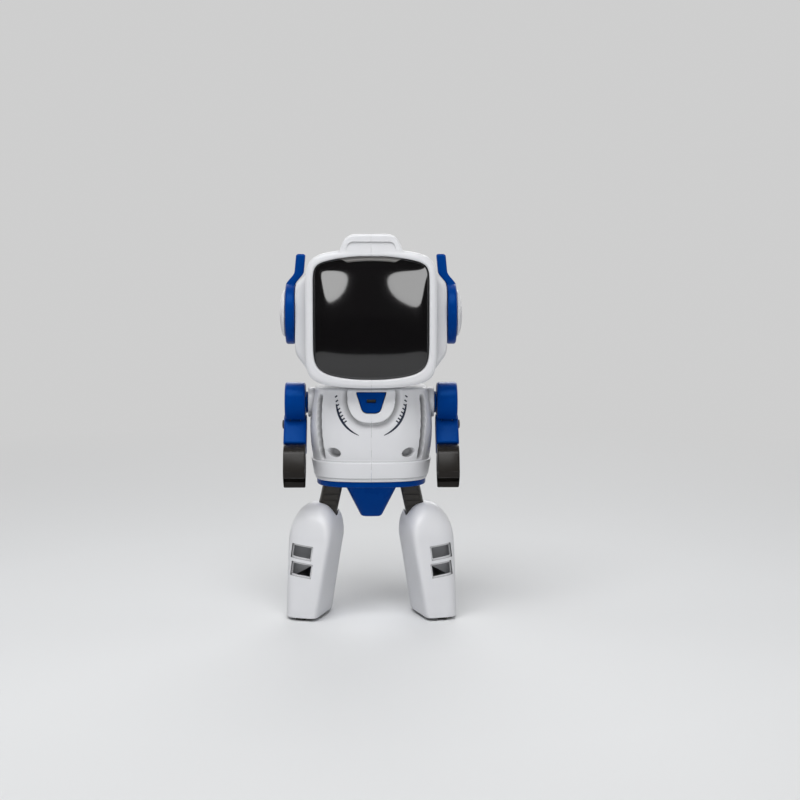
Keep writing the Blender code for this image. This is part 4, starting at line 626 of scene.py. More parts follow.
@dataclass
class Helmet:
    """The helmet: two moulded halves with a rim, side pads and a crest, and a brow over the visor."""

    half_width: float = 34.3 * MM
    low: float = 125.6 * MM
    high: float = 198.0 * MM
    front: float = -34.0 * MM
    back: float = 35.0 * MM
    squareness: float = 7.5
    opening_top_squareness: float = 12.0
    back_squareness: float = 2.8
    bow: float = 3.5 * MM
    opening_bow: float = 4.3 * MM
    dome_start: float = 4.0 * MM
    dome_turn: float = radians(89.4)
    dome_steps: int = 40
    dome_fullness: float = 0.75
    rim_depth: float = 7.5 * MM
    rim_round: float = 2.4 * MM
    rim_step: float = 1.1 * MM
    step_start: float = 1.8 * MM
    step_length: float = 2.0 * MM
    lip_round: float = 0.8 * MM
    front_wall: float = 4.0 * MM
    sill_depth: float = 2.0 * MM
    opening_half_width: float = 29.9 * MM
    opening_low: float = 130.4 * MM
    opening_high: float = 194.2 * MM
    pad_face: float = 40.1 * MM
    pad_low: float = 131.4 * MM
    pad_high: float = 188.2 * MM
    pad_front: float = -22.0 * MM
    pad_back: float = 16.0 * MM
    pad_taper: float = 4.0 * MM
    pad_low_taper: float = 11.0 * MM
    pad_high_taper: float = 9.0 * MM
    pad_corner: float = 5.0 * MM
    pad_edge: Pair = (0.72, 1.25)
    crest_half_base: float = 16.0 * MM
    crest_half_top: float = 13.4 * MM
    crest_top: float = 205.7 * MM
    crest_front: float = -33.6 * MM
    crest_back: float = 8.0 * MM
    crest_root: float = 2.4 * MM
    crest_soft: float = 1.5 * MM
    crest_corner: float = 6.0 * MM
    crest_fall: float = 9.0 * MM
    crest_drop: float = 3.4 * MM
    crest_turn: float = radians(88)
    crest_draw: float = 0.4
    panel_halves: Pair = (13.4 * MM, 11.8 * MM)
    panel_inset: Pair = (2.0 * MM, 3.9 * MM)
    panel_corners: Pair = (1.0 * MM, 2.8 * MM)
    panel_depth: float = 0.7 * MM
    panel_soft: float = 0.3 * MM
    panel_reach: float = 2.0 * MM
    panel_lean: float = 0.14
    brow_half: float = 15.9
    brow_flare: float = 1.55
    brow_flare_top: float = 0.2
    brow_profile: tuple[Pair, ...] = (
        (2.4, 1.0), (1.7, 0.1), (1.3, -0.4), (1.3, -0.8), (1.0, -1.0),
        (0.8, -1.5), (0.95, -2.1), (1.5, -2.5), (3.4, -2.5), (3.4, 1.0),
    )
    neck_radius: float = 10.5 * MM
    neck_ends: Pair = (-5.0 * MM, 8.0 * MM)
    collar_wall: float = 3.3 * MM
    collar_ends: Pair = (0.6 * MM, 5.6 * MM)
    socket_radius: float = 4.3 * MM
    socket_ends: Pair = (35.8 * MM, 41.0 * MM)

    def bowed(self, y: float, half_size: Pair, middle: float, exponents: Pair, bow: float) -> Ring:
        """One upright section with arched top and bottom edges.

        Args:
            y: Where the section stands.
            half_size: Its half width and half height.
            middle: Height of its middle.
            exponents: The squareness of its lower and its upper half.
            bow: How far the corners draw in.

        Returns:
            The section's points.
        """
        ring = []
        for low, high in zip(section(exponents[0]), section(exponents[1])):
            a, b = high if high[1] > 0 else low
            ring.append((half_size[0] * a, y, middle + half_size[1] * b - bow * a * a * b))
        return ring

    def shell_ring(self, y: float, draw_in: float, scale: float = 1.0, exponent: float | None = None) -> Ring:
        """One section of the shell.

        Args:
            y: Where the section stands.
            draw_in: How far it is drawn in all round.
            scale: Its scale about its middle.
            exponent: Its squareness, where it isn't the rim's.

        Returns:
            The section's points.
        """
        half_height = ((self.high - self.low) / 2 - draw_in) * scale
        half_width = (self.half_width - draw_in) * scale
        middle, exponent = (self.low + self.high) / 2, exponent or self.squareness
        return self.bowed(y, (half_width, half_height), middle, (exponent, exponent), self.bow * scale)

    def opening_ring(self, y: float, grow: float, scale: float = 1.0) -> Ring:
        """One section of the visor's outline.

        Args:
            y: Where the section stands.
            grow: How far it is grown all round.
            scale: Its scale about its middle.

        Returns:
            The section's points.
        """
        half_height = ((self.opening_high - self.opening_low) / 2 + grow) * scale
        half_width = (self.opening_half_width + grow) * scale
        middle = (self.opening_low + self.opening_high) / 2
        exponents = (self.squareness, self.opening_top_squareness)
        return self.bowed(y, (half_width, half_height), middle, exponents, self.opening_bow * scale)

    def dome(self, draw_in: float, wall: float) -> list[Ring]:
        """The sections of the rounded back, from its start to its pole.

        Args:
            draw_in: How far they are drawn in all round.
            wall: How far the pole stays in front of the back.

        Returns:
            The sections.
        """
        rings = []
        for turn in even(0.0, self.dome_turn, self.dome_steps):
            share = sin(turn)
            y = self.dome_start + (self.back - wall - self.dome_start) * share
            exponent = self.squareness + (self.back_squareness - self.squareness) * share
            rings.append(self.shell_ring(y, draw_in, cos(turn) ** self.dome_fullness, exponent))
        return rings

    def cup(self) -> Object:
        """The shell as one closed wall: inside, opening, rim and outside.

        Returns:
            The cup.
        """
        inset = self.rim_step + WALL
        rings = self.dome(inset, WALL)[::-1]
        sill = self.front + self.front_wall
        rings += [self.shell_ring(y, inset) for y in (sill + self.sill_depth, sill)]
        rings.append(self.opening_ring(sill, GAP))
        for along, across in fillet(self.lip_round, 8)[::-1]:
            rings.append(self.opening_ring(self.front + along, GAP + across))
        for along, across in fillet(self.rim_round, 10):
            rings.append(self.shell_ring(self.front + along, across))
        start = self.front + self.rim_depth - self.step_start
        for share in even(0.0, 1.0, 8):
            rings.append(self.shell_ring(start + self.step_length * share, self.rim_step * ease(0, 1, share)))
        return Solid.loft("helmet_cup", rings + self.dome(self.rim_step, 0.0))

    def pad(self, side: Side) -> Object:
        """The chamfered side pad that carries an ear, with a soft edge round its face.

        Args:
            side: The robot's side.

        Returns:
            The pad, rooted in the shell's wall.
        """
        root = Vector((self.half_width - self.rim_step - WALL, 0.0))
        corner, end = Vector((self.pad_face, 1.0)), Vector((self.pad_face, self.pad_edge[1]))
        start, rings = root.lerp(corner, self.pad_edge[0]), []
        for x, share in [root] + [sweep(start, corner, end, along) for along in even(0.0, 1.0, 10)]:
            across = (self.pad_front + self.pad_taper * share, self.pad_back - self.pad_taper * share)
            levels = (self.pad_low + self.pad_low_taper * share, self.pad_high - self.pad_high_taper * share)
            outline = rounded(rectangle(across, levels), self.pad_corner, 10)
            rings.append([(side.value * x, y, z) for y, z in outline])
        return Solid.loft("pad", rings)

    def crest(self) -> Object:
        """The crest: a rounded ridge with a falling back.

        Returns:
            The crest, rooted in the shell's wall.
        """
        root = self.high - self.crest_root
        slope = (self.crest_half_base - self.crest_half_top) / (self.crest_top - self.high)
        half_root = self.crest_half_base + slope * (self.high - root)
        steps = [(self.crest_front + along, across) for along, across in fillet(self.crest_soft, 6)]
        start = self.crest_back - self.crest_fall
        for turn in even(0.0, self.crest_turn, 14)[1:]:
            steps.append((start + self.crest_fall * sin(turn), self.crest_drop * (1 - cos(turn))))
        rings = []
        radii = [0.0, 0.0, self.crest_corner, self.crest_corner]
        for y, drop in steps:
            halves = (half_root, self.crest_half_top - self.crest_draw * drop)
            outline = rounded(trapezoid(halves, (root, self.crest_top - drop)), radii, 16)
            rings.append([(x, y, z) for x, z in outline])
        return Solid.loft("crest", rings)

    def crest_panel(self) -> Object:
        """The cutter for the panel on the crest's front, which runs out towards the rim.

        Returns:
            The cutter.
        """
        low, top = self.high - self.panel_inset[0], self.crest_top - self.panel_inset[1]
        radii = [radius for radius in self.panel_corners for _ in range(2)]
        outline = rounded(trapezoid(self.panel_halves, (low, top)), radii, 10)
        near, far = self.front - self.panel_reach, self.crest_front + self.panel_depth
        cutter = Solid.prism("panel", outline, Axis.Y, near, far, self.panel_soft)
        lean = Matrix.Identity(4)
        lean[1][2] = self.panel_lean
        lean[1][3] = -self.panel_lean * top
        return Solid.place(cutter, lean)

    def brow(self) -> Object:
        """The grey strip under the rim, ridged along its length, over the top of the visor.

        Returns:
            The strip, its profile's millimetres turned into metres.
        """
        rings = []
        for across in even(-1.0, 1.0, 40):
            ring = []
            for depth, rise in self.brow_profile:
                x = across * (self.brow_half + self.brow_flare * min(self.brow_flare_top, rise)) * MM
                sag = self.opening_bow * (x / self.opening_half_width) ** 2
                ring.append((x, self.front + depth * MM, self.opening_high + rise * MM - sag))
            rings.append(ring)
        return Solid.loft("visor_brow", rings)

    def build(self) -> list[Piece]:
        """Make the brow and the two halves.

        Returns:
            The pieces.
        """
        shell = self.cup()
        Solid.change(shell, Cut.JOIN, self.pad(Side.RIGHT), self.pad(Side.LEFT), self.crest())
        Solid.change(shell, Cut.REMOVE, self.crest_panel())
        ends = (self.low + self.collar_ends[0], self.low + self.collar_ends[1])
        Solid.change(shell, Cut.JOIN, Solid.rod("collar", self.neck_radius + self.collar_wall, ends, Axis.Z))
        ends = (self.low + self.neck_ends[0], self.low + self.neck_ends[1])
        Solid.change(shell, Cut.REMOVE, Solid.rod("neck_hole", self.neck_radius + GAP, ends, Axis.Z))
        pieces = [Piece(self.brow(), "head", BROW_GREY)]
        for side in Side:
            ends = (side.value * self.socket_ends[0], side.value * self.socket_ends[1])
            Solid.change(shell, Cut.REMOVE, Solid.rod("socket", self.socket_radius, ends, Axis.X, EAR_CENTRE))
        for side in Side:
            node = f"helmet_{side.label}_half"
            half = Solid.half(shell, side, f"{side.label}_helmet_shell")
            pieces.append(Piece(half, "head", SHELL_WHITE_WITH_PAINTED_SHADE, (node,)))
        bpy.data.objects.remove(shell, do_unlink=True)
        return pieces


@dataclass
class Visor:
    """The glossy visor, bulged towards the front and held behind the rim by a flange."""

    helmet: Helmet
    recess: float = 3.0 * MM
    bulge: float = 3.9 * MM
    fall: float = 1.0
    edge_roll: float = 12.0
    edge_drop: float = 0.5
    thickness: float = 1.6 * MM
    flange: float = 0.9 * MM
    pole: float = 0.004
    steps: int = 56

    def lens(self, y: float, grow: float, scale: float) -> Ring:
        """One ring of the lens, bulged evenly both ways and rolled back at its edge.

        Args:
            y: Where the unbulged ring stands.
            grow: How far it is grown all round.
            scale: Its scale about the lens's middle.

        Returns:
            The ring's points.
        """
        middle = (self.helmet.opening_low + self.helmet.opening_high) / 2
        half_height = (self.helmet.opening_high - self.helmet.opening_low) / 2
        roll = 1 - self.edge_drop * scale ** self.edge_roll
        ring = []
        for x, _, z in self.helmet.opening_ring(y, grow, scale):
            across, along = x / self.helmet.opening_half_width, (z - middle) / half_height
            swell = 1 - self.fall * (across * across + along * along) / 2
            ring.append((x, y - self.bulge * swell * roll, z))
        return ring

    def build(self) -> list[Piece]:
        """Make the visor.

        Returns:
            The piece.
        """
        edge = self.helmet.front + self.recess
        sill = self.helmet.front + self.helmet.front_wall + GAP
        scales = [self.pole] + [sin(turn) for turn in even(0.0, pi / 2, self.steps)[1:]]
        rings = [self.lens(edge, 0.0, s) for s in scales]
        rings += [self.helmet.opening_ring(sill, 0.0), self.helmet.opening_ring(sill, self.flange)]
        back = sill + self.thickness
        rings += [self.helmet.opening_ring(back, self.flange), self.helmet.opening_ring(back, -self.flange)]
        rings += [self.lens(edge + self.thickness, -self.flange, s) for s in scales[::-1]]
        return [Piece(Solid.loft("visor_lens", rings), "head", VISOR_BLACK, ("visor",))]


@dataclass
class Ear:
    """One ear: a blue disc with a leaning fin, and a domed cap on it."""

    side: Side
    seat: float = 40.4 * MM
    centre: Pair = EAR_CENTRE
    radius: float = 16.5 * MM
    thickness: float = 5.0 * MM
    soft: float = 1.3 * MM
    peg_radius: float = 4.0 * MM
    peg_length: float = 4.3 * MM
    groove_gap: float = 1.2 * MM
    groove_half: float = 0.5 * MM
    groove_depth: float = 0.4 * MM
    cap_radius: float = 12.4 * MM
    cap_height: float = 3.0 * MM
    cap_edge: float = 0.3 * MM
    cap_turn: float = radians(89.6)
    cap_ring: float = 0.66
    cap_ring_half: float = 0.45 * MM
    cap_ring_depth: float = 0.25 * MM
    fin_root: float = 3.0 * MM
    fin_knee: float = 179.2 * MM
    fin_top: float = 195.2 * MM
    fin_tip: float = 1.3 * MM
    fin_tip_step: float = radians(11)
    fin_tip_least: float = 0.25
    fin_tip_shrink: Pair = (0.8, 0.9)
    fin_lean: float = 5.6 * MM
    fin_slant: float = 0.27
    fin_bend: Pair = (-0.05, 0.42)
    fin_half: float = 2.5 * MM
    fin_depth: float = 9.0 * MM
    fin_taper: float = 2.5 * MM
    fin_edge: float = 1.1 * MM
    fin_edge_share: float = 0.6

    def disc(self) -> Object:
        """The turned disc with soft rims and a fine groove round its edge.

        Returns:
            The disc.
        """
        soft, outer = fillet(self.soft, 8), self.seat + self.thickness
        profile = [(self.peg_radius, self.seat - self.peg_length), (self.peg_radius, self.seat)]
        profile.append((self.radius - self.soft, self.seat))
        profile += [(self.radius - across, self.seat + along) for along, across in soft[1:]]
        profile += [(self.radius - along, outer - across) for along, across in soft]
        groove, wide, deep = self.cap_radius + self.groove_gap, self.groove_half, outer - self.groove_depth
        profile += [(groove + wide, outer), (groove + wide / 2, deep)]
        profile += [(groove - wide / 2, deep), (groove - wide, outer)]
        return Solid.turned(f"{self.side.label}_ear", self.side.outwards(profile), Axis.X, self.centre)

    def fin(self) -> Object:
        """The fin that leans over the helmet, with a soft tip.

        Returns:
            The fin, rooted in the disc.
        """
        middle, knee, tip = self.seat + self.thickness / 2, self.fin_knee, self.fin_tip
        levels = [self.centre[1], knee - self.fin_root]
        levels += even(knee, self.fin_top - tip, 12)
        levels += [self.fin_top - tip + tip * sin(self.fin_tip_step * k) for k in range(1, 9)]
        rings = []
        for z in levels:
            rise = max(0.0, (z - knee) / (self.fin_top - knee))
            bend = (1 - self.fin_slant) * ease(*self.fin_bend, rise)
            lean = self.fin_lean * (self.fin_slant * rise + bend)
            over = max(0.0, (z - self.fin_top + tip) / tip)
            draw_in = tip * (1 - max(self.fin_tip_least, (1 - over * over) ** 0.5))
            half_x = self.fin_half - self.fin_tip_shrink[0] * draw_in
            half_y = (self.fin_depth - self.fin_taper * rise) / 2 - self.fin_tip_shrink[1] * draw_in
            corners = rectangle((-half_x, half_x), (-half_y, half_y))
            outline = rounded(corners, min(self.fin_edge, self.fin_edge_share * half_x), 6)
            ring = [(self.side.value * (middle - lean) + a, self.centre[0] + b, z) for a, b in outline]
            rings.append(ring)
        return Solid.loft("fin", rings)

    def cap(self) -> Object:
        """The domed cap with a fine ring groove.

        Returns:
            The cap.
        """
        base = self.seat + self.thickness + GAP
        profile = [(self.cap_radius - self.cap_edge, base), (self.cap_radius, base + self.cap_edge)]
        for turn in even(0.0, self.cap_turn, 32)[1:]:
            radius, rise = self.cap_radius * cos(turn), (self.cap_height - self.cap_edge) * sin(turn)
            ring = abs(radius - self.cap_ring * self.cap_radius) < self.cap_ring_half
            profile.append((radius, base + self.cap_edge + rise - (self.cap_ring_depth if ring else 0.0)))
        return Solid.turned(f"{self.side.label}_ear_dome", self.side.outwards(profile), Axis.X, self.centre)

    def build(self) -> list[Piece]:
        """Make the disc and the cap.

        Returns:
            The pieces.
        """
        disc = Solid.change(self.disc(), Cut.JOIN, self.fin())
        name = self.side.label
        return [
            Piece(disc, "head", BLUE_GLOSS, (f"{name}_ear_disc",)),
            Piece(self.cap(), "head", SHELL_WHITE_WITH_PAINTED_SHADE, (f"{name}_ear_cap",)),
        ]


@dataclass
class Torso:
    """The torso: two moulded halves with a belt, a raised bib, side grooves and dimples."""

    lip_low: float = 75.2 * MM
    lip_edge: float = 0.35 * MM
    lip_insets: Pair = (1.5 * MM, 1.1 * MM)
    belt_low: float = 77.0 * MM
    belt_top: float = 86.0 * MM
    belt_soft: float = 0.7 * MM
    belt_grow: Pair = (-0.3 * MM, 1.0 * MM)
    hairline: float = 0.05 * MM
    ledge: float = 0.25 * MM
    bulge: float = 103.0 * MM
    top: float = 124.5 * MM
    top_round: float = 1.8 * MM
    widths: Point = (30.4 * MM, 32.8 * MM, 31.2 * MM)
    depths: Point = (23.6 * MM, 26.2 * MM, 25.2 * MM)
    squareness: float = 2.7
    points: int = 400
    relief_fade: float = 0.3
    bib_half_width: float = 12.4 * MM
    bib_top: float = 121.8 * MM
    bib_height: float = 15.0 * MM
    bib_proud: float = 1.8 * MM
    bib_valley: float = 1.1 * MM
    bib_valley_ends: Pair = (-3.6 * MM, -0.4 * MM)
    bib_edge: float = 0.45 * MM
    bib_squareness: float = 2.6
    groove_low: float = 87.6 * MM
    groove_length: float = 33.4 * MM
    groove_depth: float = 3.4 * MM
    groove_middle: Point = (25.4 * MM, 1.4 * MM, 5.6 * MM)
    groove_wall: Pair = (0.6 * MM, 1.35 * MM)
    groove_start: Pair = (-0.04, 0.05)
    groove_end: Pair = (1.02, 0.93)
    dimple_place: Pair = (19.7 * MM, 91.0 * MM)
    dimple_half: Pair = (3.5 * MM, 2.3 * MM)
    dimple_tilt: float = radians(18)
    dimple_depth: float = 3.2 * MM
    dimple_wall: Pair = (1.05, 0.7)
    boss_radius: float = 8.0 * MM
    boss_root: float = 27.5 * MM
    boss_face: float = 33.8 * MM
    boss_rim: tuple[Pair, ...] = ((0.0, 0.5 * MM), (0.2 * MM, 0.15 * MM), (0.5 * MM, 0.0))
    hollow_gap: float = 0.4 * MM
    hollow_ends: Pair = (2.0 * MM, 2.4 * MM)
    post_radius: float = 3.4 * MM
    post_half: float = 36.0 * MM
    opening_gap: float = 0.2 * MM
    window_levels: Pair = (112.1 * MM, 123.0 * MM)
    window_halves: Pair = (4.4 * MM, 8.0 * MM)
    window_corners: Pair = (2.8 * MM, 0.9 * MM)
    window_back: float = -19.1 * MM
    door_half: float = 19.0 * MM
    door_levels: Pair = (87.5 * MM, 115.5 * MM)
    door_corner: float = 2.0 * MM
    switch_low: Point = (3.1 * MM, 14.8 * MM, 81.2 * MM)
    switch_high: Point = (9.9 * MM, FAR, 84.8 * MM)
    neck_radius: float = 10.8 * MM
    neck_ends: Pair = (115.0 * MM, 126.0 * MM)
    axle_radius: float = 3.3 * MM
    screw_radius: float = 2.2 * MM
    screw_seat: float = -5.0 * MM

    def size(self, z: float) -> Pair:
        """Half width and half depth at a height, on a smooth curve through three levels.

        Args:
            z: The height.

        Returns:
            The half width and the half depth.
        """
        levels = (self.top - self.top_round, self.bulge, self.belt_top)
        z = min(max(z, self.belt_top), self.top - self.top_round)
        width = depth = 0.0
        for index, level in enumerate(levels):
            weight = 1.0
            for other in levels:
                if other != level:
                    weight *= (z - other) / (level - other)
            width, depth = width + weight * self.widths[index], depth + weight * self.depths[index]
        return width, depth

    def front(self, x: float, z: float, grow: float = 0.0) -> float:
        """Where the plain front stands at a place, with the rounded top edge.

        Args:
            x: Place across the front.
            z: Height on the front.
            grow: How far the front is grown outwards.

        Returns:
            The front's y.
        """
        width, depth = self.size(z)
        over = min(1.0, max(0.0, (z - self.top + self.top_round) / self.top_round))
        grow -= self.top_round * (1 - (1 - over * over) ** 0.5)
        share = min(1.0, abs(x) / (width + grow))
        return -(depth + grow) * (1 - share ** self.squareness) ** (1 / self.squareness)

    def relief(self, x: float, z: float) -> float:
        """How far the moulded front stands out (or in) at a place.

        Args:
            x: Place across the front.
            z: Height on the front.

        Returns:
            The height over the plain front.
        """
        drop, power = max(0.0, self.bib_top - z) / self.bib_height, self.bib_squareness
        reach = ((abs(x) / self.bib_half_width) ** power + drop ** power) ** (1 / power)
        inside = (1 - reach) * self.bib_half_width
        step = ease(-self.bib_edge, self.bib_edge, inside)
        height = self.bib_proud * step - self.bib_valley * ease(*self.bib_valley_ends, inside) * (1 - step)
        share = (z - self.groove_low) / self.groove_length
        foot, lean, bow = self.groove_middle
        away = abs(abs(x) - (foot + lean * share + bow * share * (1 - share)))
        length = ease(*self.groove_start, share) * ease(*self.groove_end, share)
        height -= self.groove_depth * (1 - ease(*self.groove_wall, away)) * length
        out, rise, tilt = abs(x) - self.dimple_place[0], z - self.dimple_place[1], self.dimple_tilt
        along, across = out * cos(tilt) + rise * sin(tilt), rise * cos(tilt) - out * sin(tilt)
        away = ((along / self.dimple_half[0]) ** 2 + (across / self.dimple_half[1]) ** 2) ** 0.5
        return height - self.dimple_depth * ease(*self.dimple_wall, away)

    def ring(self, z: float, grow: float, mould: Mould = Mould.FULL) -> Ring:
        """One level section.

        Args:
            z: Its height.
            grow: How far it is grown all round.
            mould: How much of the front's relief it follows.

        Returns:
            The section's points.
        """
        width, depth = self.size(z)
        ring = []
        for a, b in section(self.squareness, self.points):
            high = grow
            if mould is not Mould.PLAIN and b < 0:
                relief = self.relief(a * width, z) * ease(0.0, self.relief_fade, -b)
                high += relief if mould is Mould.FULL else min(0.0, relief)
            ring.append((a * (width + high), b * (depth + high), z))
        return ring

    def outside(self) -> Object:
        """The outer form from the lip under the belt to the rounded top.

        Returns:
            The solid form.
        """
        rings = [self.ring(self.lip_low, -self.lip_insets[0])]
        for z in (self.lip_low + self.lip_edge, self.belt_low - self.hairline):
            rings.append(self.ring(z, -self.lip_insets[1]))
        soft, (low_grow, high_grow) = fillet(self.belt_soft, 6), self.belt_grow
        rings += [self.ring(self.belt_low + along, low_grow - across) for along, across in soft]
        rings.append(self.ring(self.belt_top - self.belt_soft, high_grow))
        rings += [self.ring(self.belt_top - across, high_grow - along) for along, across in soft[1:]]
        levels = even(self.belt_top + self.hairline, self.top - self.top_round, 92)
        rings += [self.ring(z, self.ledge * ease(3, 0, step)) for step, z in enumerate(levels)]
        rings += [self.ring(self.top - across, -along) for along, across in fillet(self.top_round, 10)[1:]]
        return Solid.loft("torso_shell", rings)

    def window_outline(self, grow: float) -> Outline:
        """The chest window, seen from the front.

        Args:
            grow: How far it is grown all round.

        Returns:
            The outline.
        """
        narrow, wide = self.window_halves
        low, high = self.window_levels
        radii = [radius for radius in self.window_corners for _ in range(2)]
        return rounded(trapezoid((narrow + grow, wide + grow), (low - grow, high + grow)), radii, 10)

    def door_outline(self, grow: float) -> Outline:
        """The battery door, grown all round and seen from the back."""
        wide, low, high = self.door_half + grow, self.door_levels[0] - grow, self.door_levels[1] + grow
        return rounded(rectangle((-wide, wide), (low, high)), self.door_corner, 8)

    def openings(self) -> list[Object]:
        """The cutters for the window, door, switch, neck, axles and screws.

        Returns:
            The cutters.
        """
        gap, axle = self.opening_gap, (0.0, SHOULDER_HEIGHT)
        cutters = [
            Solid.prism("window", self.window_outline(gap), Axis.Y, -FAR, self.window_back),
            Solid.prism("door", self.door_outline(gap), Axis.Y, 0.0, FAR),
            Solid.box("switch", self.switch_low, self.switch_high),
            Solid.rod("neck", self.neck_radius, self.neck_ends, Axis.Z),
            Solid.rod("axle", self.axle_radius, (-FAR, FAR), Axis.X, axle, BORE_SIDES),
        ]
        for spot in TORSO_SCREWS:
            ends = (-FAR, self.screw_seat)
            cutters.append(Solid.rod("screw_bore", self.screw_radius, ends, Axis.X, spot, SCREW_SIDES))
        return cutters

    def build(self) -> list[Piece]:
        """Make the two halves.

        Returns:
            The pieces.
        """
        shell = self.outside()
        rim = [(self.boss_radius, self.boss_root)]
        rim += [(self.boss_radius - inset, self.boss_face - drop) for inset, drop in self.boss_rim]
        for side in Side:
            boss = Solid.turned("boss", side.outwards(rim), Axis.X, (0.0, SHOULDER_HEIGHT))
            Solid.change(shell, Cut.JOIN, boss)
        levels = [self.lip_low - self.hollow_ends[0]]
        levels += even(self.belt_top - self.hollow_ends[0], self.top - self.hollow_ends[1], 48)
        inset = -WALL - self.hollow_gap
        hollow = Solid.loft("hollow", [self.ring(z, inset, Mould.SUNK) for z in levels])
        for spot in TORSO_SCREWS:
            ends = (-self.post_half, self.post_half)
            post = Solid.rod("post", self.post_radius, ends, Axis.X, spot, SCREW_SIDES)
            Solid.change(hollow, Cut.REMOVE, post)
        Solid.change(shell, Cut.REMOVE, hollow, *self.openings())
        pieces = []
        for side in Side:
            half = Solid.half(shell, side, f"{side.label}_torso_shell")
            pieces.append(Piece(half, "torso", SHELL_WHITE_WITH_PAINTED_SHADE, (f"torso_{side.label}_half",)))
        bpy.data.objects.remove(shell, do_unlink=True)
        return pieces


@dataclass
class Chest:
    """What sits in and on the torso: window, receiver, stripes, dashes, door and switch knob."""

    torso: Torso
    pole: float = 0.01
    cut_reach: float = 40.0 * MM
    window_proud: float = 0.9 * MM
    window_soft: float = 0.7 * MM
    slot_height: float = 118.4 * MM
    slot_half: Pair = (2.5 * MM, 0.95 * MM)
    slot_corner: float = 0.5 * MM
    lens_share: Pair = (0.94, 0.9)
    lens_corner: float = 0.45 * MM
    lens_sunk: float = 0.5 * MM
    lens_depth: float = 4.0 * MM
    lens_soft: float = 0.2 * MM
    stripe_top: Pair = (18.4 * MM, 116.6 * MM)
    stripe_pull: Pair = (16.9 * MM, 104.9 * MM)
    stripe_low: Pair = (6.6 * MM, 100.4 * MM)
    stripe_half: Pair = (0.12 * MM, 0.5 * MM)
    stripe_taper: float = 0.12
    stripe_fullness: float = 0.8
    stripe_rise: Pair = (0.1 * MM, -0.3 * MM)
    door_soft: float = 0.45 * MM
    door_depth: float = 1.5 * MM
    door_post_radius: float = 3.4 * MM
    door_post_ends: Pair = (5.8 * MM, 0.7 * MM)
    door_bore_radii: Pair = (1.3 * MM, 2.3 * MM)
    door_seat: float = 2.4 * MM
    nail_half: float = 6.0 * MM
    nail_levels: Pair = (108.6 * MM, 111.2 * MM)
    nail_corner: float = 1.2 * MM
    nail_height: float = 110.0 * MM
    nail_depth: float = 0.6 * MM
    knob_soft: float = 0.35 * MM
    knob_ribs: int = 3
    knob_start: float = 0.7 * MM
    knob_pitch: float = 0.9 * MM
    knob_groove: Point = (0.4 * MM, 0.6 * MM, 8.0 * MM)

    def patch(
        self, name: str, outline: Outline, way: int, proud: float, soft: float, depth: float
    ) -> Object:
        """A closed panel that follows the torso's front or back.

        Args:
            name: The object's name.
            outline: Its outline, seen from the front.
            way: 1 for the front, -1 for the back.
            proud: How far its face stands over the torso.
            soft: How far its edge rounds down.
            depth: How far it reaches into the wall.

        Returns:
            The panel.
        """
        middle_x = sum(x for x, _ in outline) / len(outline)
        middle_z = sum(z for _, z in outline) / len(outline)
        reach = max(abs(x - middle_x) for x, _ in outline)
        steps = [(self.pole, proud)] + [((1 - soft / reach) * k / 12, proud) for k in range(1, 13)]
        steps += [(1 - across / reach, proud - along) for along, across in fillet(soft, 6)[1:]]
        steps += [(share, -depth) for share in (1.0, 0.75, 0.5, 0.25, self.pole)]
        rings = []
        for share, grow in steps:
            ring = []
            for x, z in outline:
                a, b = middle_x + (x - middle_x) * share, middle_z + (z - middle_z) * share
                ring.append((a, way * self.torso.front(a, b, grow), b))
            rings.append(ring)
        return Solid.loft(name, rings)

    def window(self) -> list[Piece]:
        """The blue chest window with a slot, and the receiver lens in it.

        Returns:
            The pieces.
        """
        outline = self.torso.window_outline(0.0)
        panel = self.patch("window_panel", outline, 1, self.window_proud, self.window_soft, WALL)
        z, (wide, tall) = self.slot_height, self.slot_half
        corners = rectangle((-wide, wide), (z - tall, z + tall))
        slot = Solid.prism("slot", rounded(corners, self.slot_corner, 5), Axis.Y, -self.cut_reach, 0.0)
        Solid.change(panel, Cut.REMOVE, slot)
        face = self.torso.front(0.0, z) + self.lens_sunk
        corners = [(x * self.lens_share[0], z + (b - z) * self.lens_share[1]) for x, b in corners]
        inner = rounded(corners, self.lens_corner, 5)
        lens = Solid.prism("receiver_lens", inner, Axis.Y, face, face + self.lens_depth, self.lens_soft)
        return [
            Piece(panel, "torso", BLUE_GLOSS, ("chest_window",)),
            Piece(lens, "torso", DARK_SATIN, ("receiver",)),
        ]

    def stripe(self, side: Side) -> Object:
        """The long tapered curve printed beside the bib.

        Args:
            side: The robot's side.

        Returns:
            The stripe.
        """
        top, pull, low = Vector(self.stripe_top), Vector(self.stripe_pull), Vector(self.stripe_low)
        (thin, swell), (over, under), taper = self.stripe_half, self.stripe_rise, self.stripe_taper
        rings: list[Ring] = []
        for share in even(0.0, 1.0, 48):
            point = sweep(top, pull, low, share)
            slope = ((pull - top) * (1 - share) + (low - pull) * share).normalized()
            half = thin + swell * sin(pi * min(1.0, taper + (1 - taper) * share)) ** self.stripe_fullness
            across = Vector((slope.y, -slope.x)) * half
            ring = []
            for way, grow in ((1, over), (-1, over), (-1, under), (1, under)):
                x, z = side.value * (point.x + way * across.x), point.y + way * across.y
                ring.append((x, self.torso.front(x, z, grow), z))
            rings.append(ring)
        return Solid.loft(f"{side.label}_chest_stripe", rings)

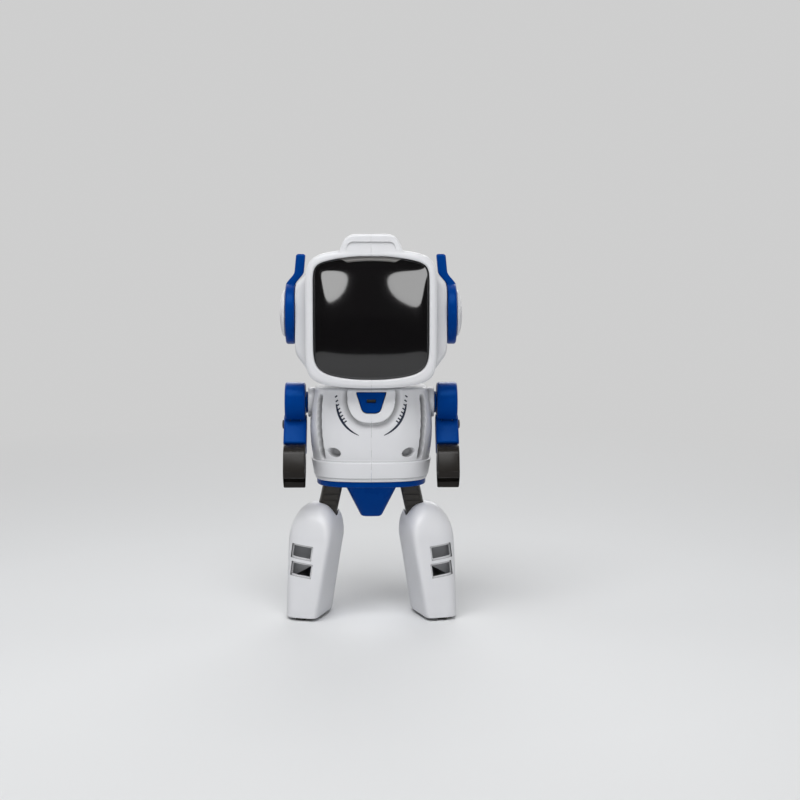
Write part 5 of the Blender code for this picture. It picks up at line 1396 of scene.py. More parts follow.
    def door(self) -> Object:
        """The battery door with a bored screw post and a groove for a fingernail.

        Returns:
            The door.
        """
        outline, depth = self.torso.door_outline(0.0), self.torso.size(DOOR_SCREW_HEIGHT)[1]
        door = self.patch("door_panel", outline, -1, 0.0, self.door_soft, self.door_depth)
        spot, ends = (0.0, DOOR_SCREW_HEIGHT), tuple(depth - end for end in self.door_post_ends)
        Solid.change(door, Cut.JOIN, Solid.rod("post", self.door_post_radius, ends, Axis.Y, spot, BORE_SIDES))
        (narrow, wide), seat = self.door_bore_radii, depth - self.door_seat
        bore = [(narrow, 0.0), (narrow, seat), (wide, seat), (wide, depth + MM)]
        Solid.change(door, Cut.REMOVE, Solid.turned("bore", bore, Axis.Y, spot, BORE_SIDES))
        nail = rounded(rectangle((-self.nail_half, self.nail_half), self.nail_levels), self.nail_corner, 8)
        floor = self.torso.size(self.nail_height)[1] - self.nail_depth
        return Solid.change(door, Cut.REMOVE, Solid.prism("nail_groove", nail, Axis.Y, floor, self.cut_reach))

    def knob(self) -> Object:
        """The switch knob with grip ribs.

        Returns:
            The knob.
        """
        low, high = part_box("power_switch_knob")
        knob = Solid.box("switch_knob", tuple(low), tuple(high), self.knob_soft)
        start = (low[0] + self.knob_start, high[1], (low[2] + high[2]) / 2)
        ribs = RibCut(DARK_SATIN, self.knob_ribs, start, (self.knob_pitch, 0.0, 0.0), self.knob_groove)
        return ribs.apply(knob)

    def build(self) -> list[Piece]:
        """Make the pieces in and on the torso.

        Returns:
            The pieces.
        """
        pieces = self.window()
        for side in Side:
            pieces.append(Piece(self.stripe(side), "torso", PRINT_NAVY))
            pieces.append(Piece(DashRow(self.torso, side).build(), "torso", PRINT_NAVY))
        pieces.append(Piece(self.door(), "torso", SHELL_WHITE_WITH_PAINTED_SHADE, ("battery_door",)))
        pieces.append(Piece(self.knob(), "power_knob", DARK_SATIN, ("power_switch_knob",)))
        return pieces


class NodeSheet:
    """A Geometry Nodes tree under construction."""

    def __init__(self, name: str) -> None:
        """Start a tree with one geometry input and one geometry output.

        Args:
            name: The tree's name.
        """
        self.tree = bpy.data.node_groups.new(name, "GeometryNodeTree")
        self.face = self.tree.interface
        self.face.new_socket("Geometry", in_out="OUTPUT", socket_type="NodeSocketGeometry")
        self.face.new_socket("Geometry", in_out="INPUT", socket_type="NodeSocketGeometry")
        self.enter = add_node(self.tree, "NodeGroupInput")
        self.given = self.enter.outputs["Geometry"]
        self.inputs: dict[str, str] = {}

    def add(self, kind: str, out: str, feeds: dict | None = None, **settings: object) -> NodeSocket:
        """Add a node and give its named output."""
        return add_node(self.tree, kind, feeds, **settings).outputs[out]

    def size(self, label: str, kind: str = "Float") -> NodeSocket:
        """Add a named input.

        Args:
            label: The input's name.
            kind: What it takes.

        Returns:
            Its socket inside the tree.
        """
        socket = self.face.new_socket(label, in_out="INPUT", socket_type=f"NodeSocket{kind}")
        self.inputs[label] = socket.identifier
        return self.enter.outputs[label]

    def copies(self, points: NodeSocket, feeds: dict) -> NodeSocket:
        """Set copies of a shape on points."""
        return self.add("GeometryNodeInstanceOnPoints", "Instances", {"Points": points} | feeds)

    def real(self, mesh: NodeSocket) -> NodeSocket:
        """Turn copies into plain geometry."""
        return self.add("GeometryNodeRealizeInstances", "Geometry", {"Geometry": mesh})

    def end(self, mesh: NodeSocket) -> None:
        """Realize the result, give it its material and close the tree.

        Args:
            mesh: What the tree has made.
        """
        feeds = {"Geometry": self.real(mesh), "Material": self.size("Finish", "Material")}
        result = self.add("GeometryNodeSetMaterial", "Geometry", feeds)
        add_node(self.tree, "NodeGroupOutput", {"Geometry": result})

    def run(self, item: Object, finish: Finish, values: dict[str, object]) -> Object:
        """Run the tree on an object and keep the result as its plain mesh.

        Args:
            item: The object that goes in.
            finish: The finish of what comes out.
            values: A value for each other named input.

        Returns:
            The same object, with the new mesh.
        """
        step = item.modifiers.new("nodes", "NODES")
        step.node_group = self.tree
        for label, value in ({"Finish": finish.material()} | values).items():
            step[self.inputs[label]] = value
        return Solid.bake(item)


@dataclass
class RibCut:
    """A row of equal grooves across a piece.

    Attributes:
        finish: The piece's finish.
        count: Number of grooves.
        start: Middle of the first groove.
        step: From one groove to the next.
        size: Size of each groove's cutter.
    """

    finish: Finish
    count: int
    start: Point
    step: Point
    size: Point

    def apply(self, item: Object) -> Object:
        """Cut the grooves into a piece.

        Args:
            item: The solid to cut.

        Returns:
            The same object, with the grooves.
        """
        sheet = NodeSheet("rib_cut")
        feeds = {"Count": sheet.size("Count", "Int"), "Start Location": sheet.size("Start", "Vector")}
        feeds["Offset"] = sheet.size("Step", "Vector")
        row = sheet.add("GeometryNodeMeshLine", "Mesh", feeds, mode="OFFSET")
        cutter = sheet.add("GeometryNodeMeshCube", "Mesh", {"Size": sheet.size("Groove", "Vector")})
        feeds = {"Mesh 1": sheet.given, "Mesh 2": sheet.real(sheet.copies(row, {"Instance": cutter}))}
        sheet.end(
            sheet.add("GeometryNodeMeshBoolean", "Mesh", feeds, operation="DIFFERENCE", solver="MANIFOLD")
        )
        values = {"Count": self.count, "Start": self.start, "Step": self.step, "Groove": self.size}
        return sheet.run(item, self.finish, values)


@dataclass
class DashRow:
    """Short slanted dashes printed inside a chest stripe, laid on the torso's front."""

    torso: Torso
    side: Side
    count: int = 8
    top: Pair = (18.5 * MM, 120.6 * MM)
    pull: Pair = (17.3 * MM, 112.2 * MM)
    low: Pair = (13.6 * MM, 107.6 * MM)
    size: Point = (1.55 * MM, 0.24 * MM, 0.7 * MM)
    slant: float = radians(38)
    sheet_steps: int = 48
    sheet_across: Pair = (2.0, 24.0)
    sheet_levels: Pair = (98.0, 25.0)

    def front_sheet(self) -> Object:
        """The torso's plain front as a sheet to lay the dashes on.

        Returns:
            The sheet, its limits' millimetres turned into metres.
        """
        mesh = bmesh.new()
        rows = []
        (start, width), (low, height) = self.sheet_across, self.sheet_levels
        shares = range(self.sheet_steps + 1)
        for row in shares:
            z = (low + height * row / self.sheet_steps) * MM
            across = [self.side.value * (start + width * step / self.sheet_steps) * MM for step in shares]
            rows.append([mesh.verts.new((x, self.torso.front(x, z), z)) for x in across])
        for near, far in zip(rows, rows[1:]):
            for index in range(len(near) - 1):
                mesh.faces.new((near[index], near[index + 1], far[index + 1], far[index]))
        return Solid.from_bmesh("front_sheet", mesh)

    def path(self) -> Object:
        """Points in front of the torso, one for each dash.

        Returns:
            The points.
        """
        mesh = bmesh.new()
        for index in range(self.count):
            spot = sweep(Vector(self.top), Vector(self.pull), Vector(self.low), index / (self.count - 1))
            mesh.verts.new((self.side.value * spot.x, -FAR, spot.y))
        return Solid.from_bmesh(f"{self.side.label}_chest_dashes", mesh)

    def build(self) -> Object:
        """Lay a dash at each point of the path.

        Returns:
            The dashes as one mesh.
        """
        sheet = NodeSheet("dash_row")
        dash = sheet.add("GeometryNodeMeshCube", "Mesh", {"Size": sheet.size("Dash", "Vector")})
        turn = sheet.add("ShaderNodeCombineXYZ", "Vector", {"Y": sheet.size("Slant")})
        row = sheet.real(sheet.copies(sheet.given, {"Instance": dash, "Rotation": turn}))
        feeds = {"Object": sheet.size("Front", "Object")}
        target = sheet.add("GeometryNodeObjectInfo", "Geometry", feeds, transform_space="ORIGINAL")
        place = sheet.add("GeometryNodeInputPosition", "Position")
        feeds = {"Target Geometry": target, "Source Position": place}
        feeds |= {"Ray Direction": (0.0, 1.0, 0.0), "Ray Length": 1.0}
        hit = sheet.add("GeometryNodeRaycast", "Hit Position", feeds)
        feeds = {0: sheet.add("ShaderNodeSeparateXYZ", "Y", {"Vector": place}), 1: FAR}
        lift = sheet.add("ShaderNodeMath", "Value", feeds, operation="ADD")
        feeds = {0: hit, 1: sheet.add("ShaderNodeCombineXYZ", "Vector", {"Y": lift})}
        spot = sheet.add("ShaderNodeVectorMath", "Vector", feeds, operation="ADD")
        sheet.end(sheet.add("GeometryNodeSetPosition", "Geometry", {"Geometry": row, "Position": spot}))
        front = self.front_sheet()
        values = {"Dash": self.size, "Slant": self.side.value * self.slant, "Front": front}
        row = sheet.run(self.path(), PRINT_NAVY, values)
        bpy.data.objects.remove(front, do_unlink=True)
        return row


@dataclass
class Screws:
    """Pan-head screws with a cross recess, all those of one body in one piece.

    Attributes:
        name: The piece's name.
        seats: For each screw, the middle of its seat, the way its head points and its shank's length.
    """

    name: str
    seats: list[tuple[Point, Point, float]]
    head_radius: float = 1.9 * MM
    head_height: float = 1.4 * MM
    head_sides: int = 40
    shank_radius: float = 1.0 * MM
    shank_sides: int = 24
    recess: Point = (2.3 * MM, 0.5 * MM, 1.4 * MM)

    def points(self) -> Object:
        """The seats as points that carry their direction and length.

        Returns:
            The points.
        """
        data = bpy.data.meshes.new(self.name)
        data.from_pydata([seat for seat, _, _ in self.seats], [], [])
        data.attributes.new("axis", "FLOAT_VECTOR", "POINT")
        data.attributes.new("shank", "FLOAT", "POINT")
        for index, (_, way, length) in enumerate(self.seats):
            data.attributes["axis"].data[index].vector = way
            data.attributes["shank"].data[index].value = length
        item = bpy.data.objects.new(self.name, data)
        bpy.context.scene.collection.objects.link(item)
        return item

    def head(self, sheet: NodeSheet) -> NodeSocket:
        """The head with its cross recess.

        Args:
            sheet: The tree that it is part of.

        Returns:
            The head's mesh.
        """
        feeds = {"Vertices": self.head_sides, "Radius": sheet.size("Head Radius")}
        head = sheet.add("GeometryNodeMeshCylinder", "Mesh", feeds | {"Depth": sheet.size("Head Height")})
        lift = {"Geometry": head, "Translation": (0.0, 0.0, self.head_height / 2)}
        slot = sheet.add("GeometryNodeMeshCube", "Mesh", {"Size": sheet.size("Recess", "Vector")})
        feeds = {"Mesh 1": sheet.add("GeometryNodeTransform", "Geometry", lift)}
        how = {"operation": "DIFFERENCE", "solver": "MANIFOLD"}
        cut = add_node(sheet.tree, "GeometryNodeMeshBoolean", feeds, **how)
        lift = {"Geometry": slot, "Translation": (0.0, 0.0, self.head_height)}
        for quarter in (0.0, pi / 2):
            feeds = lift | {"Rotation": (0.0, 0.0, quarter)}
            sheet.tree.links.new(sheet.add("GeometryNodeTransform", "Geometry", feeds), cut.inputs["Mesh 2"])
        return cut.outputs["Mesh"]

    def build(self) -> Object:
        """Put a screw on each seat.

        Returns:
            The screws as one mesh.
        """
        sheet = NodeSheet("screws")
        head = self.head(sheet)
        feeds = {"Vertices": self.shank_sides, "Radius": sheet.size("Shank Radius"), "Depth": 1.0}
        shank = sheet.add("GeometryNodeMeshCylinder", "Mesh", feeds)
        feeds = {"Geometry": shank, "Translation": (0.0, 0.0, -0.5)}
        below = sheet.add("GeometryNodeTransform", "Geometry", feeds)
        kind, out = "GeometryNodeInputNamedAttribute", "Attribute"
        axis = sheet.add(kind, out, {"Name": "axis"}, data_type="FLOAT_VECTOR")
        length = sheet.add(kind, out, {"Name": "shank"}, data_type="FLOAT")
        turn = sheet.add("FunctionNodeAlignRotationToVector", "Rotation", {"Vector": axis}, axis="Z")
        stretch = sheet.add("ShaderNodeCombineXYZ", "Vector", {"X": 1.0, "Y": 1.0, "Z": length})
        both = add_node(sheet.tree, "GeometryNodeJoinGeometry")
        for feeds in ({"Instance": head}, {"Instance": below, "Scale": stretch}):
            part = sheet.copies(sheet.given, feeds | {"Rotation": turn})
            sheet.tree.links.new(part, both.inputs["Geometry"])
        sheet.end(both.outputs["Geometry"])
        values = {"Head Radius": self.head_radius, "Head Height": self.head_height, "Recess": self.recess}
        return sheet.run(self.points(), SCREW_STEEL, values | {"Shank Radius": self.shank_radius})


@dataclass
class Arm:
    """One arm: shoulder hub and tongue, elbow pin, forked forearm and open claw."""

    side: Side
    plane: float = 40.8 * MM
    shoulder: float = SHOULDER_HEIGHT
    hub_radius: float = 10.8 * MM
    hub_half: float = 5.5 * MM
    hub_soft: float = 1.3 * MM
    hub_groove: tuple[Pair, ...] = (
        (7.9 * MM, 0.0), (7.7 * MM, 0.45 * MM), (7.1 * MM, 0.45 * MM), (6.9 * MM, 0.0)
    )
    axle_radius: float = 3.0 * MM
    axle_end: float = -15.3 * MM
    reach: float = 12.0 * MM
    knuckle: float = 5.6 * MM
    tongue_half: float = 2.7 * MM
    tongue_end: float = 4.3 * MM
    tongue_soft: float = 0.4 * MM
    elbow_relief: float = 1.4 * MM
    pin_radius: float = 1.6 * MM
    pin_bore: float = 1.9 * MM
    pin_head: float = 2.4 * MM
    pin_rise: float = 0.4 * MM
    pin_turns: tuple[int, ...] = (25, 45, 65, 80, 88)
    forearm_half: float = 6.1 * MM
    forearm_length: float = 16.0 * MM
    forearm_end: float = 6.3 * MM
    forearm_soft: float = 1.1 * MM
    fork_gap: float = 0.4 * MM
    fork_reach: float = 20.0 * MM
    fork_swing: Pair = (radians(8), radians(57))
    wrist_radius: float = 3.5 * MM
    wrist_depth: float = 6.3 * MM
    bend: float = radians(40)
    claw_radius: float = 9.8 * MM
    claw_half: float = 5.8 * MM
    claw_reach: float = 24.4 * MM
    claw_soft: float = 0.6 * MM
    claw_edge: float = 0.35 * MM
    slot_half: float = 3.1 * MM
    slot_corner: float = 2.2 * MM
    slot_floor: float = 1.6 * MM
    jaw_turn: float = radians(-6)
    jaw_length: float = 12.2 * MM
    jaw_wall: float = 3.0 * MM
    jaw_slant: float = 1.7 * MM
    jaw_lip: Pair = (0.6 * MM, 1.9 * MM)
    grip_ribs: int = 5
    grip_pitch: float = 2.0 * MM
    grip_width: float = 30.0 * MM
    grip_groove: float = 0.8 * MM
    channels: tuple[Pair, ...] = ((-3.4 * MM, 1.3 * MM), (0.0, 1.2 * MM), (3.4 * MM, 1.3 * MM))
    channel_depth: float = 0.35 * MM
    channel_radius: float = 12.0 * MM
    shank_radius: float = 3.2 * MM
    shank_depth: float = 6.0 * MM

    def shoulder_frame(self) -> Matrix:
        """From the arm's own frame to the CAD frame."""
        return Matrix.Translation((self.side.value * self.plane, 0.0, self.shoulder))

    def elbow_frame(self) -> Matrix:
        """From the forearm's own frame to the CAD frame."""
        drop, turn = Matrix.Translation((0.0, 0.0, -self.reach)), Matrix.Rotation(-self.bend, 4, "X")
        return self.shoulder_frame() @ drop @ turn

    def upper(self) -> Object:
        """The hub with its axle, face groove and elbow tongue.

        Returns:
            The upper arm.
        """
        soft, half = fillet(self.hub_soft, 8), self.hub_half
        profile = [(self.hub_radius - across, along - half) for along, across in soft]
        profile += [(self.hub_radius - along, half - across) for along, across in soft]
        profile += [(radius, half - depth) for radius, depth in self.hub_groove]
        hub = Solid.turned(f"{self.side.label}_shoulder_hub", self.side.outwards(profile), Axis.X)
        elbow, room = (0.0, -self.reach), self.knuckle + self.elbow_relief
        Solid.change(hub, Cut.REMOVE, Solid.rod("knuckle_room", room, (-2 * half, 2 * half), Axis.X, elbow))
        end, thick = self.tongue_end, self.tongue_half
        outline = [(end, 0.0), (-end, 0.0)] + arc(end, pi, 2 * pi, 24, -self.reach)
        tongue = Solid.prism("tongue", outline, Axis.X, -thick, thick, self.tongue_soft)
        Solid.change(hub, Cut.JOIN, tongue)
        bore = Solid.rod("pin_bore", self.pin_bore, (-half - MM, half + MM), Axis.X, elbow, BORE_SIDES)
        Solid.change(hub, Cut.REMOVE, bore)
        ends = (self.side.value * self.axle_end, self.side.value * (self.hub_soft - half))
        axle = Solid.rod("axle", self.axle_radius, ends, Axis.X, sides=BORE_SIDES)
        return Solid.place(Solid.change(hub, Cut.JOIN, axle), self.shoulder_frame())

    def pin(self) -> Object:
        """The elbow pin with a soft round head.

        Returns:
            The pin.
        """
        face, rise = self.forearm_half + GAP, self.pin_rise
        profile = [(self.pin_radius, -self.forearm_half), (self.pin_radius, face)]
        profile += [(self.pin_head, face), (self.pin_head, face + rise)]
        for turn in map(radians, self.pin_turns):
            profile.append((self.pin_head * cos(turn), face + rise + rise * sin(turn)))
        name, centre = f"{self.side.label}_elbow_rivet", (0.0, -self.reach)
        pin = Solid.turned(name, self.side.outwards(profile), Axis.X, centre, BORE_SIDES)
        return Solid.place(pin, self.shoulder_frame())

    def fork_room(self) -> Object:
        """The pocket that the tongue needs in the knuckle, over the whole swing of the elbow.

        Returns:
            The cutter.
        """
        radius, (near, wide) = self.tongue_end + self.fork_gap, self.fork_swing
        outline = arc(radius, wide + pi, near + 2 * pi, 32)
        for turn, way in ((near, 1), (wide, -1)):
            y, z = way * radius * cos(turn), way * radius * sin(turn)
            outline.append((y - self.fork_reach * sin(turn), z + self.fork_reach * cos(turn)))
        room = self.tongue_half + GAP
        return Solid.prism("fork", outline, Axis.X, -room, room)

    def forearm(self) -> Object:
        """The fork round the tongue, bored for the pin and the claw's shank.

        Returns:
            The forearm.
        """
        half, length, far, end = self.forearm_half, self.forearm_length, self.fork_reach, self.forearm_end
        outline = [(-end, -length), (end, -length)] + arc(self.knuckle, 0.0, pi, 32)
        name = f"{self.side.label}_forearm_fork"
        arm = Solid.prism(name, outline, Axis.X, -half, half, self.forearm_soft)
        pin = Solid.rod("pin_bore", self.pin_bore, (-far, far), Axis.X, sides=BORE_SIDES)
        ends = (-length - MM, self.wrist_depth - length)
        wrist = Solid.rod("wrist", self.wrist_radius, ends, Axis.Z, sides=BORE_SIDES)
        Solid.change(arm, Cut.REMOVE, self.fork_room(), pin, wrist)
        return Solid.place(arm, self.elbow_frame())

    def jaws(self) -> Outline:
        """The claw's outline, seen from the side: a round back and two slanted jaw tips.

        Returns:
            The outline.
        """
        centre, face = -self.claw_reach, -self.forearm_length - GAP
        floor, tip = centre + self.slot_floor, centre - self.jaw_length
        start = np.arcsin((face - centre) / self.claw_radius)
        back = arc(self.claw_radius, start, self.jaw_turn, 28, centre)
        inner, outer, slant = self.slot_half, self.slot_half + self.jaw_wall, self.jaw_slant
        rear = [(outer, tip), (inner + slant, tip), (inner, tip + slant), (inner, floor)]
        front = [(-inner, floor), (-inner, tip), (slant - outer, tip)]
        front.append((-outer - self.jaw_lip[0], tip + self.jaw_lip[1]))
        plain, soft = [0.0] * len(back), [self.claw_edge] * 3
        radii = plain + soft + [self.slot_corner] * 2 + soft + plain
        return rounded(back + rear + front + [(-y, z) for y, z in back[::-1]], radii, 8)

    def claw(self) -> Object:
        """The open-jawed claw with grip ridges inside and two raised hoops round it.

        Returns:
            The claw.
        """
        centre, half, far = -self.claw_reach, self.claw_half, self.fork_reach
        name = f"{self.side.label}_claw_jaws"
        claw = Solid.prism(name, self.jaws(), Axis.X, -half, half, self.claw_soft)
        start, step = (0.0, 0.0, centre - self.grip_pitch), (0.0, 0.0, -self.grip_pitch)
        groove = (self.grip_width, 2 * self.slot_half + MM, self.grip_groove)
        RibCut(CLAW_SATIN, self.grip_ribs, start, step, groove).apply(claw)
        low = self.claw_radius - self.channel_depth
        for x, wide in self.channels:
            spot = (0.0, centre)
            channel = Solid.rod("channel", self.channel_radius, (x - wide, x + wide), Axis.X, spot)
            core = Solid.rod("core", low, (x - 2 * wide, x + 2 * wide), Axis.X, spot)
            below = Solid.box("below", (-far, -far, centre - far), (far, far, centre))
            Solid.change(claw, Cut.REMOVE, Solid.change(channel, Cut.REMOVE, core, below))
        ends = (centre + self.slot_floor + WALL, self.shank_depth - self.forearm_length)
        shank = Solid.rod("shank", self.shank_radius, ends, Axis.Z, sides=BORE_SIDES)
        return Solid.place(Solid.change(claw, Cut.JOIN, shank), self.elbow_frame())

    def build(self) -> list[Piece]:
        """Make the arm's pieces.

        Returns:
            The pieces.
        """
        name = self.side.label
        return [
            Piece(self.upper(), f"{name}_arm", BLUE_GLOSS, (f"{name}_upper_arm",)),
            Piece(self.pin(), f"{name}_arm", DARK_SATIN, (f"{name}_elbow_pin",)),
            Piece(self.forearm(), f"{name}_hand", BLUE_GLOSS, (f"{name}_forearm",)),
            Piece(self.claw(), f"{name}_hand", CLAW_SATIN, (f"{name}_claw",)),
        ]


@dataclass(frozen=True)
class LegForm:
    """The leaning form of a leg, which the boots leave room for."""

    low: float = 28.7 * MM
    high: float = 71.7 * MM
    foot_x: float = 30.0 * MM
    lean: float = 9.4 * MM
    half_width: float = 5.4 * MM
    foot_depth: float = 7.2 * MM
    spread: float = 2.2 * MM
    squareness: float = 5.0
    points: int = 96

    def share(self, z: float) -> float:
        """How far up the leg a height is."""
        return (z - self.low) / (self.high - self.low)

    def middle(self, side: Side, z: float) -> float:
        """The x of the leg's middle at a height."""
        return side.value * (self.foot_x - self.lean * self.share(z))

    def ring(self, side: Side, z: float, grow: float = 0.0) -> Ring:
        """One level section.

        Args:
            side: The robot's side.
            z: Its height.
            grow: How far it is grown all round.

        Returns:
            The section's points.
        """
        x, wide = self.middle(side, z), self.half_width + grow
        deep = self.foot_depth + self.spread * self.share(z) + grow
        return [(x + wide * a, deep * b, z) for a, b in section(self.squareness, self.points)]


@dataclass
class Hips:
    """The blue pelvis under the belt and the dark ribbed legs that hang from it."""

    torso: Torso
    form: LegForm = LegForm()
    underside: float = 72.0 * MM
    rim_top: float = 74.9 * MM
    rim_inset: float = 1.9 * MM
    rim_soft: float = 0.8 * MM
    spigot_top: float = 80.2 * MM
    wedge_half: Pair = (14.5, 14.0)
    wedge_draw: Pair = (9.0, 7.0)
    wedge_drop: float = 18.0
    wedge_squareness: float = 5.0
    wedge_profile: tuple[Pair, ...] = (
        (0.0, 1.5), (0.15, 0.5), (0.4, 0.12), (1.0, 0.0), (3.0, 0.0),
        (17.0, 0.0), (17.6, -0.25), (17.9, -0.7), (18.0, -1.4),
    )
    rib_count: int = 4
    rib_start: Point = (22.0 * MM, -11.56 * MM, 67.0 * MM)
    rib_step: Point = (0.0, 0.174 * MM, -3.4 * MM)
    rib_groove: Point = (20.0 * MM, 6.6 * MM, 1.5 * MM)
    screw_height: float = 51.0 * MM
    screw_bore: tuple[Pair, ...] = (
        (2.2 * MM, -20.0 * MM), (2.2 * MM, -5.94 * MM), (1.3 * MM, -5.94 * MM), (1.3 * MM, 1.4 * MM)
    )

    def pelvis(self) -> Object:
        """The spigot in the torso, the rim under the belt and the wedge between the legs.

        Returns:
            The pelvis, its wedge's millimetres turned into metres.
        """
        spigot, rim = -WALL - 2 * GAP, -self.rim_inset
        rings = [self.torso.ring(z, spigot, Mould.PLAIN) for z in (self.spigot_top, self.rim_top)]
        rings.append(self.torso.ring(self.rim_top, rim, Mould.PLAIN))
        for along, across in fillet(self.rim_soft, 8):
            rings.append(self.torso.ring(self.underside + across, rim - along, Mould.PLAIN))
        outline = section(self.wedge_squareness, self.torso.points)
        for drop, swell in self.wedge_profile:
            share, z = drop / self.wedge_drop, self.underside - drop * MM
            wide, deep = ((h - d * share + swell) * MM for h, d in zip(self.wedge_half, self.wedge_draw))
            rings.append([(wide * a, deep * b, z) for a, b in outline])
        return Solid.loft("hip_rim", rings)

    def leg(self, side: Side) -> Object:
        """One leg with ribs across its front and a bore for its screw.

        Args:
            side: The robot's side.

        Returns:
            The leg.
        """
        rings = [self.form.ring(side, z) for z in even(self.form.low, self.form.high, 12)]
        leg = Solid.loft(f"{side.label}_ribbed_leg", rings)
        start = (side.value * self.rib_start[0], *self.rib_start[1:])
        RibCut(DARK_SATIN, self.rib_count, start, self.rib_step, self.rib_groove).apply(leg)
        spot = (self.form.middle(side, self.screw_height), self.screw_height)
        bore = Solid.turned("seat", list(self.screw_bore), Axis.Y, spot, SCREW_SIDES)
        return Solid.change(leg, Cut.REMOVE, bore)

    def build(self) -> list[Piece]:
        """Make the pelvis and the legs.

        Returns:
            The pieces.
        """
        pieces = [Piece(self.pelvis(), "torso", BLUE_GLOSS, ("pelvis",))]
        for side in Side:
            pieces.append(Piece(self.leg(side), "torso", DARK_SATIN, (f"{side.label}_leg",)))
        return pieces


@dataclass
class Boot:
    """One boot: a hollow shell with two vents, a sole with skids and a treaded tyre."""

    side: Side
    leg: LegForm = LegForm()
    leg_gap: float = 0.6 * MM
    place: Pair = (33.2 * MM, -2.0 * MM)
    below: float = -2.0 * MM
    low: float = 1.6 * MM
    widest: float = 43.0 * MM
    top: float = 62.5 * MM
    half_width: float = 13.0 * MM
    sole_half_width: float = 9.8 * MM
    half_length: float = 17.6 * MM
    toe_length: float = 20.2 * MM
    heel_length: float = 17.0 * MM
    lean: float = 5.4 * MM
    toe_out: float = radians(17)
    edge: float = 0.6 * MM
    squareness: float = 3.0
    crease: float = 7.0
    crease_end: float = 0.85
    dome_turn: float = radians(89.3)
    dome_fullness: float = 0.85
    vent_half: Pair = (5.3 * MM, 3.0 * MM)
    vent_heights: Pair = (27.6 * MM, 37.0 * MM)
    vent_shift: float = 1.2 * MM
    vent_tilt: float = radians(7)
    vent_corner: float = 0.5 * MM
    vent_ends: Pair = (-36.0 * MM, -9.0 * MM)
    vent_border: float = 0.9 * MM
    vent_depth: float = 0.7 * MM
    # The plate behind the vents is painted shade for the boot's shaded inside.
    baffle_half: float = 20.0 * MM
    baffle_levels: Point = (15.0 * MM, 37.0 * MM, 43.0 * MM)
    baffle_ends: Pair = (-11.4 * MM, -10.2 * MM)
    sole_thickness: float = 2.0 * MM
    skids: Pair = (-14.4 * MM, 11.9 * MM)
    skid_half: float = 2.6 * MM
    skid_soft: float = 0.3 * MM
    skid_start: float = 1.0 * MM
    skid_pitch: float = 1.6 * MM
    skid_groove: Point = (20.0 * MM, 0.5 * MM, 0.8 * MM)
    slot_half: Pair = (3.3 * MM, 8.0 * MM)
    slot_top: float = 8.0 * MM
    wheel_radius: float = 9.0 * MM
    wheel_half: float = 2.5 * MM

    def frame(self) -> Matrix:
        """From the boot's own frame to the CAD frame."""
        turn = Matrix.Rotation(self.side.value * self.toe_out, 4, "Z")
        return Matrix.Translation((self.side.value * self.place[0], self.place[1], 0.0)) @ turn

    def outline(self, crease: float) -> Outline:
        """A unit section: round outside, with a firm edge at the inner front.

        Args:
            crease: How firm the inner front edge is.

        Returns:
            The section's points.
        """
        points = []
        for plain, firm in zip(section(self.squareness, FINE), section(self.squareness + crease, FINE)):
            inner, front = plain[0] * self.side.value < 0, plain[1] < 0
            points.append(firm if inner and front else plain)
        return points

    def ring(self, z: float, inset: float, swell: float = 1.0, firm: float = 1.0) -> Ring:
        """One level section of the boot in its own frame.

        Args:
            z: Its height.
            inset: How far it is drawn in all round.
            swell: Its scale about its middle.
            firm: How much of the inner front crease it shows.

        Returns:
            The section's points.
        """
        rise = min(1.0, (z - self.low) / (self.widest - self.low))
        wide = self.sole_half_width + (self.half_width - self.sole_half_width) * rise
        toe = self.toe_length + (self.half_length - self.toe_length) * rise * rise
        heel = self.heel_length + (self.half_length - self.heel_length) * rise * rise
        long, middle = (toe + heel) / 2, (heel - toe) / 2
        shift = -self.side.value * self.lean * (z - self.low) / (self.top - self.low)
        ring = []
        for a, b in self.outline(self.crease * firm):
            ring.append((shift + (wide - inset) * swell * a, middle + (long - inset) * swell * b, z))
        return ring

    def form(self, name: str, inset: float, low: float) -> Object:
        """The boot's form: straight below, a dome above.

        Args:
            name: The object's name.
            inset: How far it is drawn in all round; the outside, at 0, has a soft lower edge.
            low: Where it starts.

        Returns:
            The solid form, in the boot's own frame.
        """
        rings = []
        if not inset:
            rings = [self.ring(low + along, across) for along, across in fillet(self.edge, 4)[:-1]]
            low += self.edge
        rings += [self.ring(z, inset) for z in even(low, self.widest, 16)]
        rise = self.top - inset - self.widest
        for turn in even(0.0, self.dome_turn, 32)[1:]:
            z, swell = self.widest + rise * sin(turn), cos(turn) ** self.dome_fullness
            rings.append(self.ring(z, inset, swell, 1 - ease(0.0, self.crease_end, sin(turn))))
        return Solid.loft(name, rings)

    def vent(self, index: int, grow: float) -> Object:
        """A cutter for one of the slanted vents at the toe.

        Args:
            index: 0 for the lower vent, 1 for the upper one.
            grow: How far it is grown all round.

        Returns:
            The cutter, in the boot's own frame.
        """
        tilt = Matrix.Rotation(self.side.value * self.vent_tilt, 2)
        wide, tall = self.vent_half[0] + grow, self.vent_half[1] + grow
        x, z = -self.side.value * self.vent_shift, self.vent_heights[index]
        corners = []
        for corner in ((-wide, -tall), (wide, -tall), (wide, tall), (-wide, tall)):
            turned = tilt @ Vector(corner)
            corners.append((turned.x + x, turned.y + z))
        return Solid.prism("vent", rounded(corners, self.vent_corner, 5), Axis.Y, *self.vent_ends)

    def leg_room(self) -> Object:
        """The room that the leg needs, in the CAD frame.

        Returns:
            The cutter.
        """
        levels = (self.leg.low - self.leg_gap, self.leg.high + self.leg_gap)
        return Solid.loft("leg_room", [self.leg.ring(self.side, z, self.leg_gap) for z in levels])

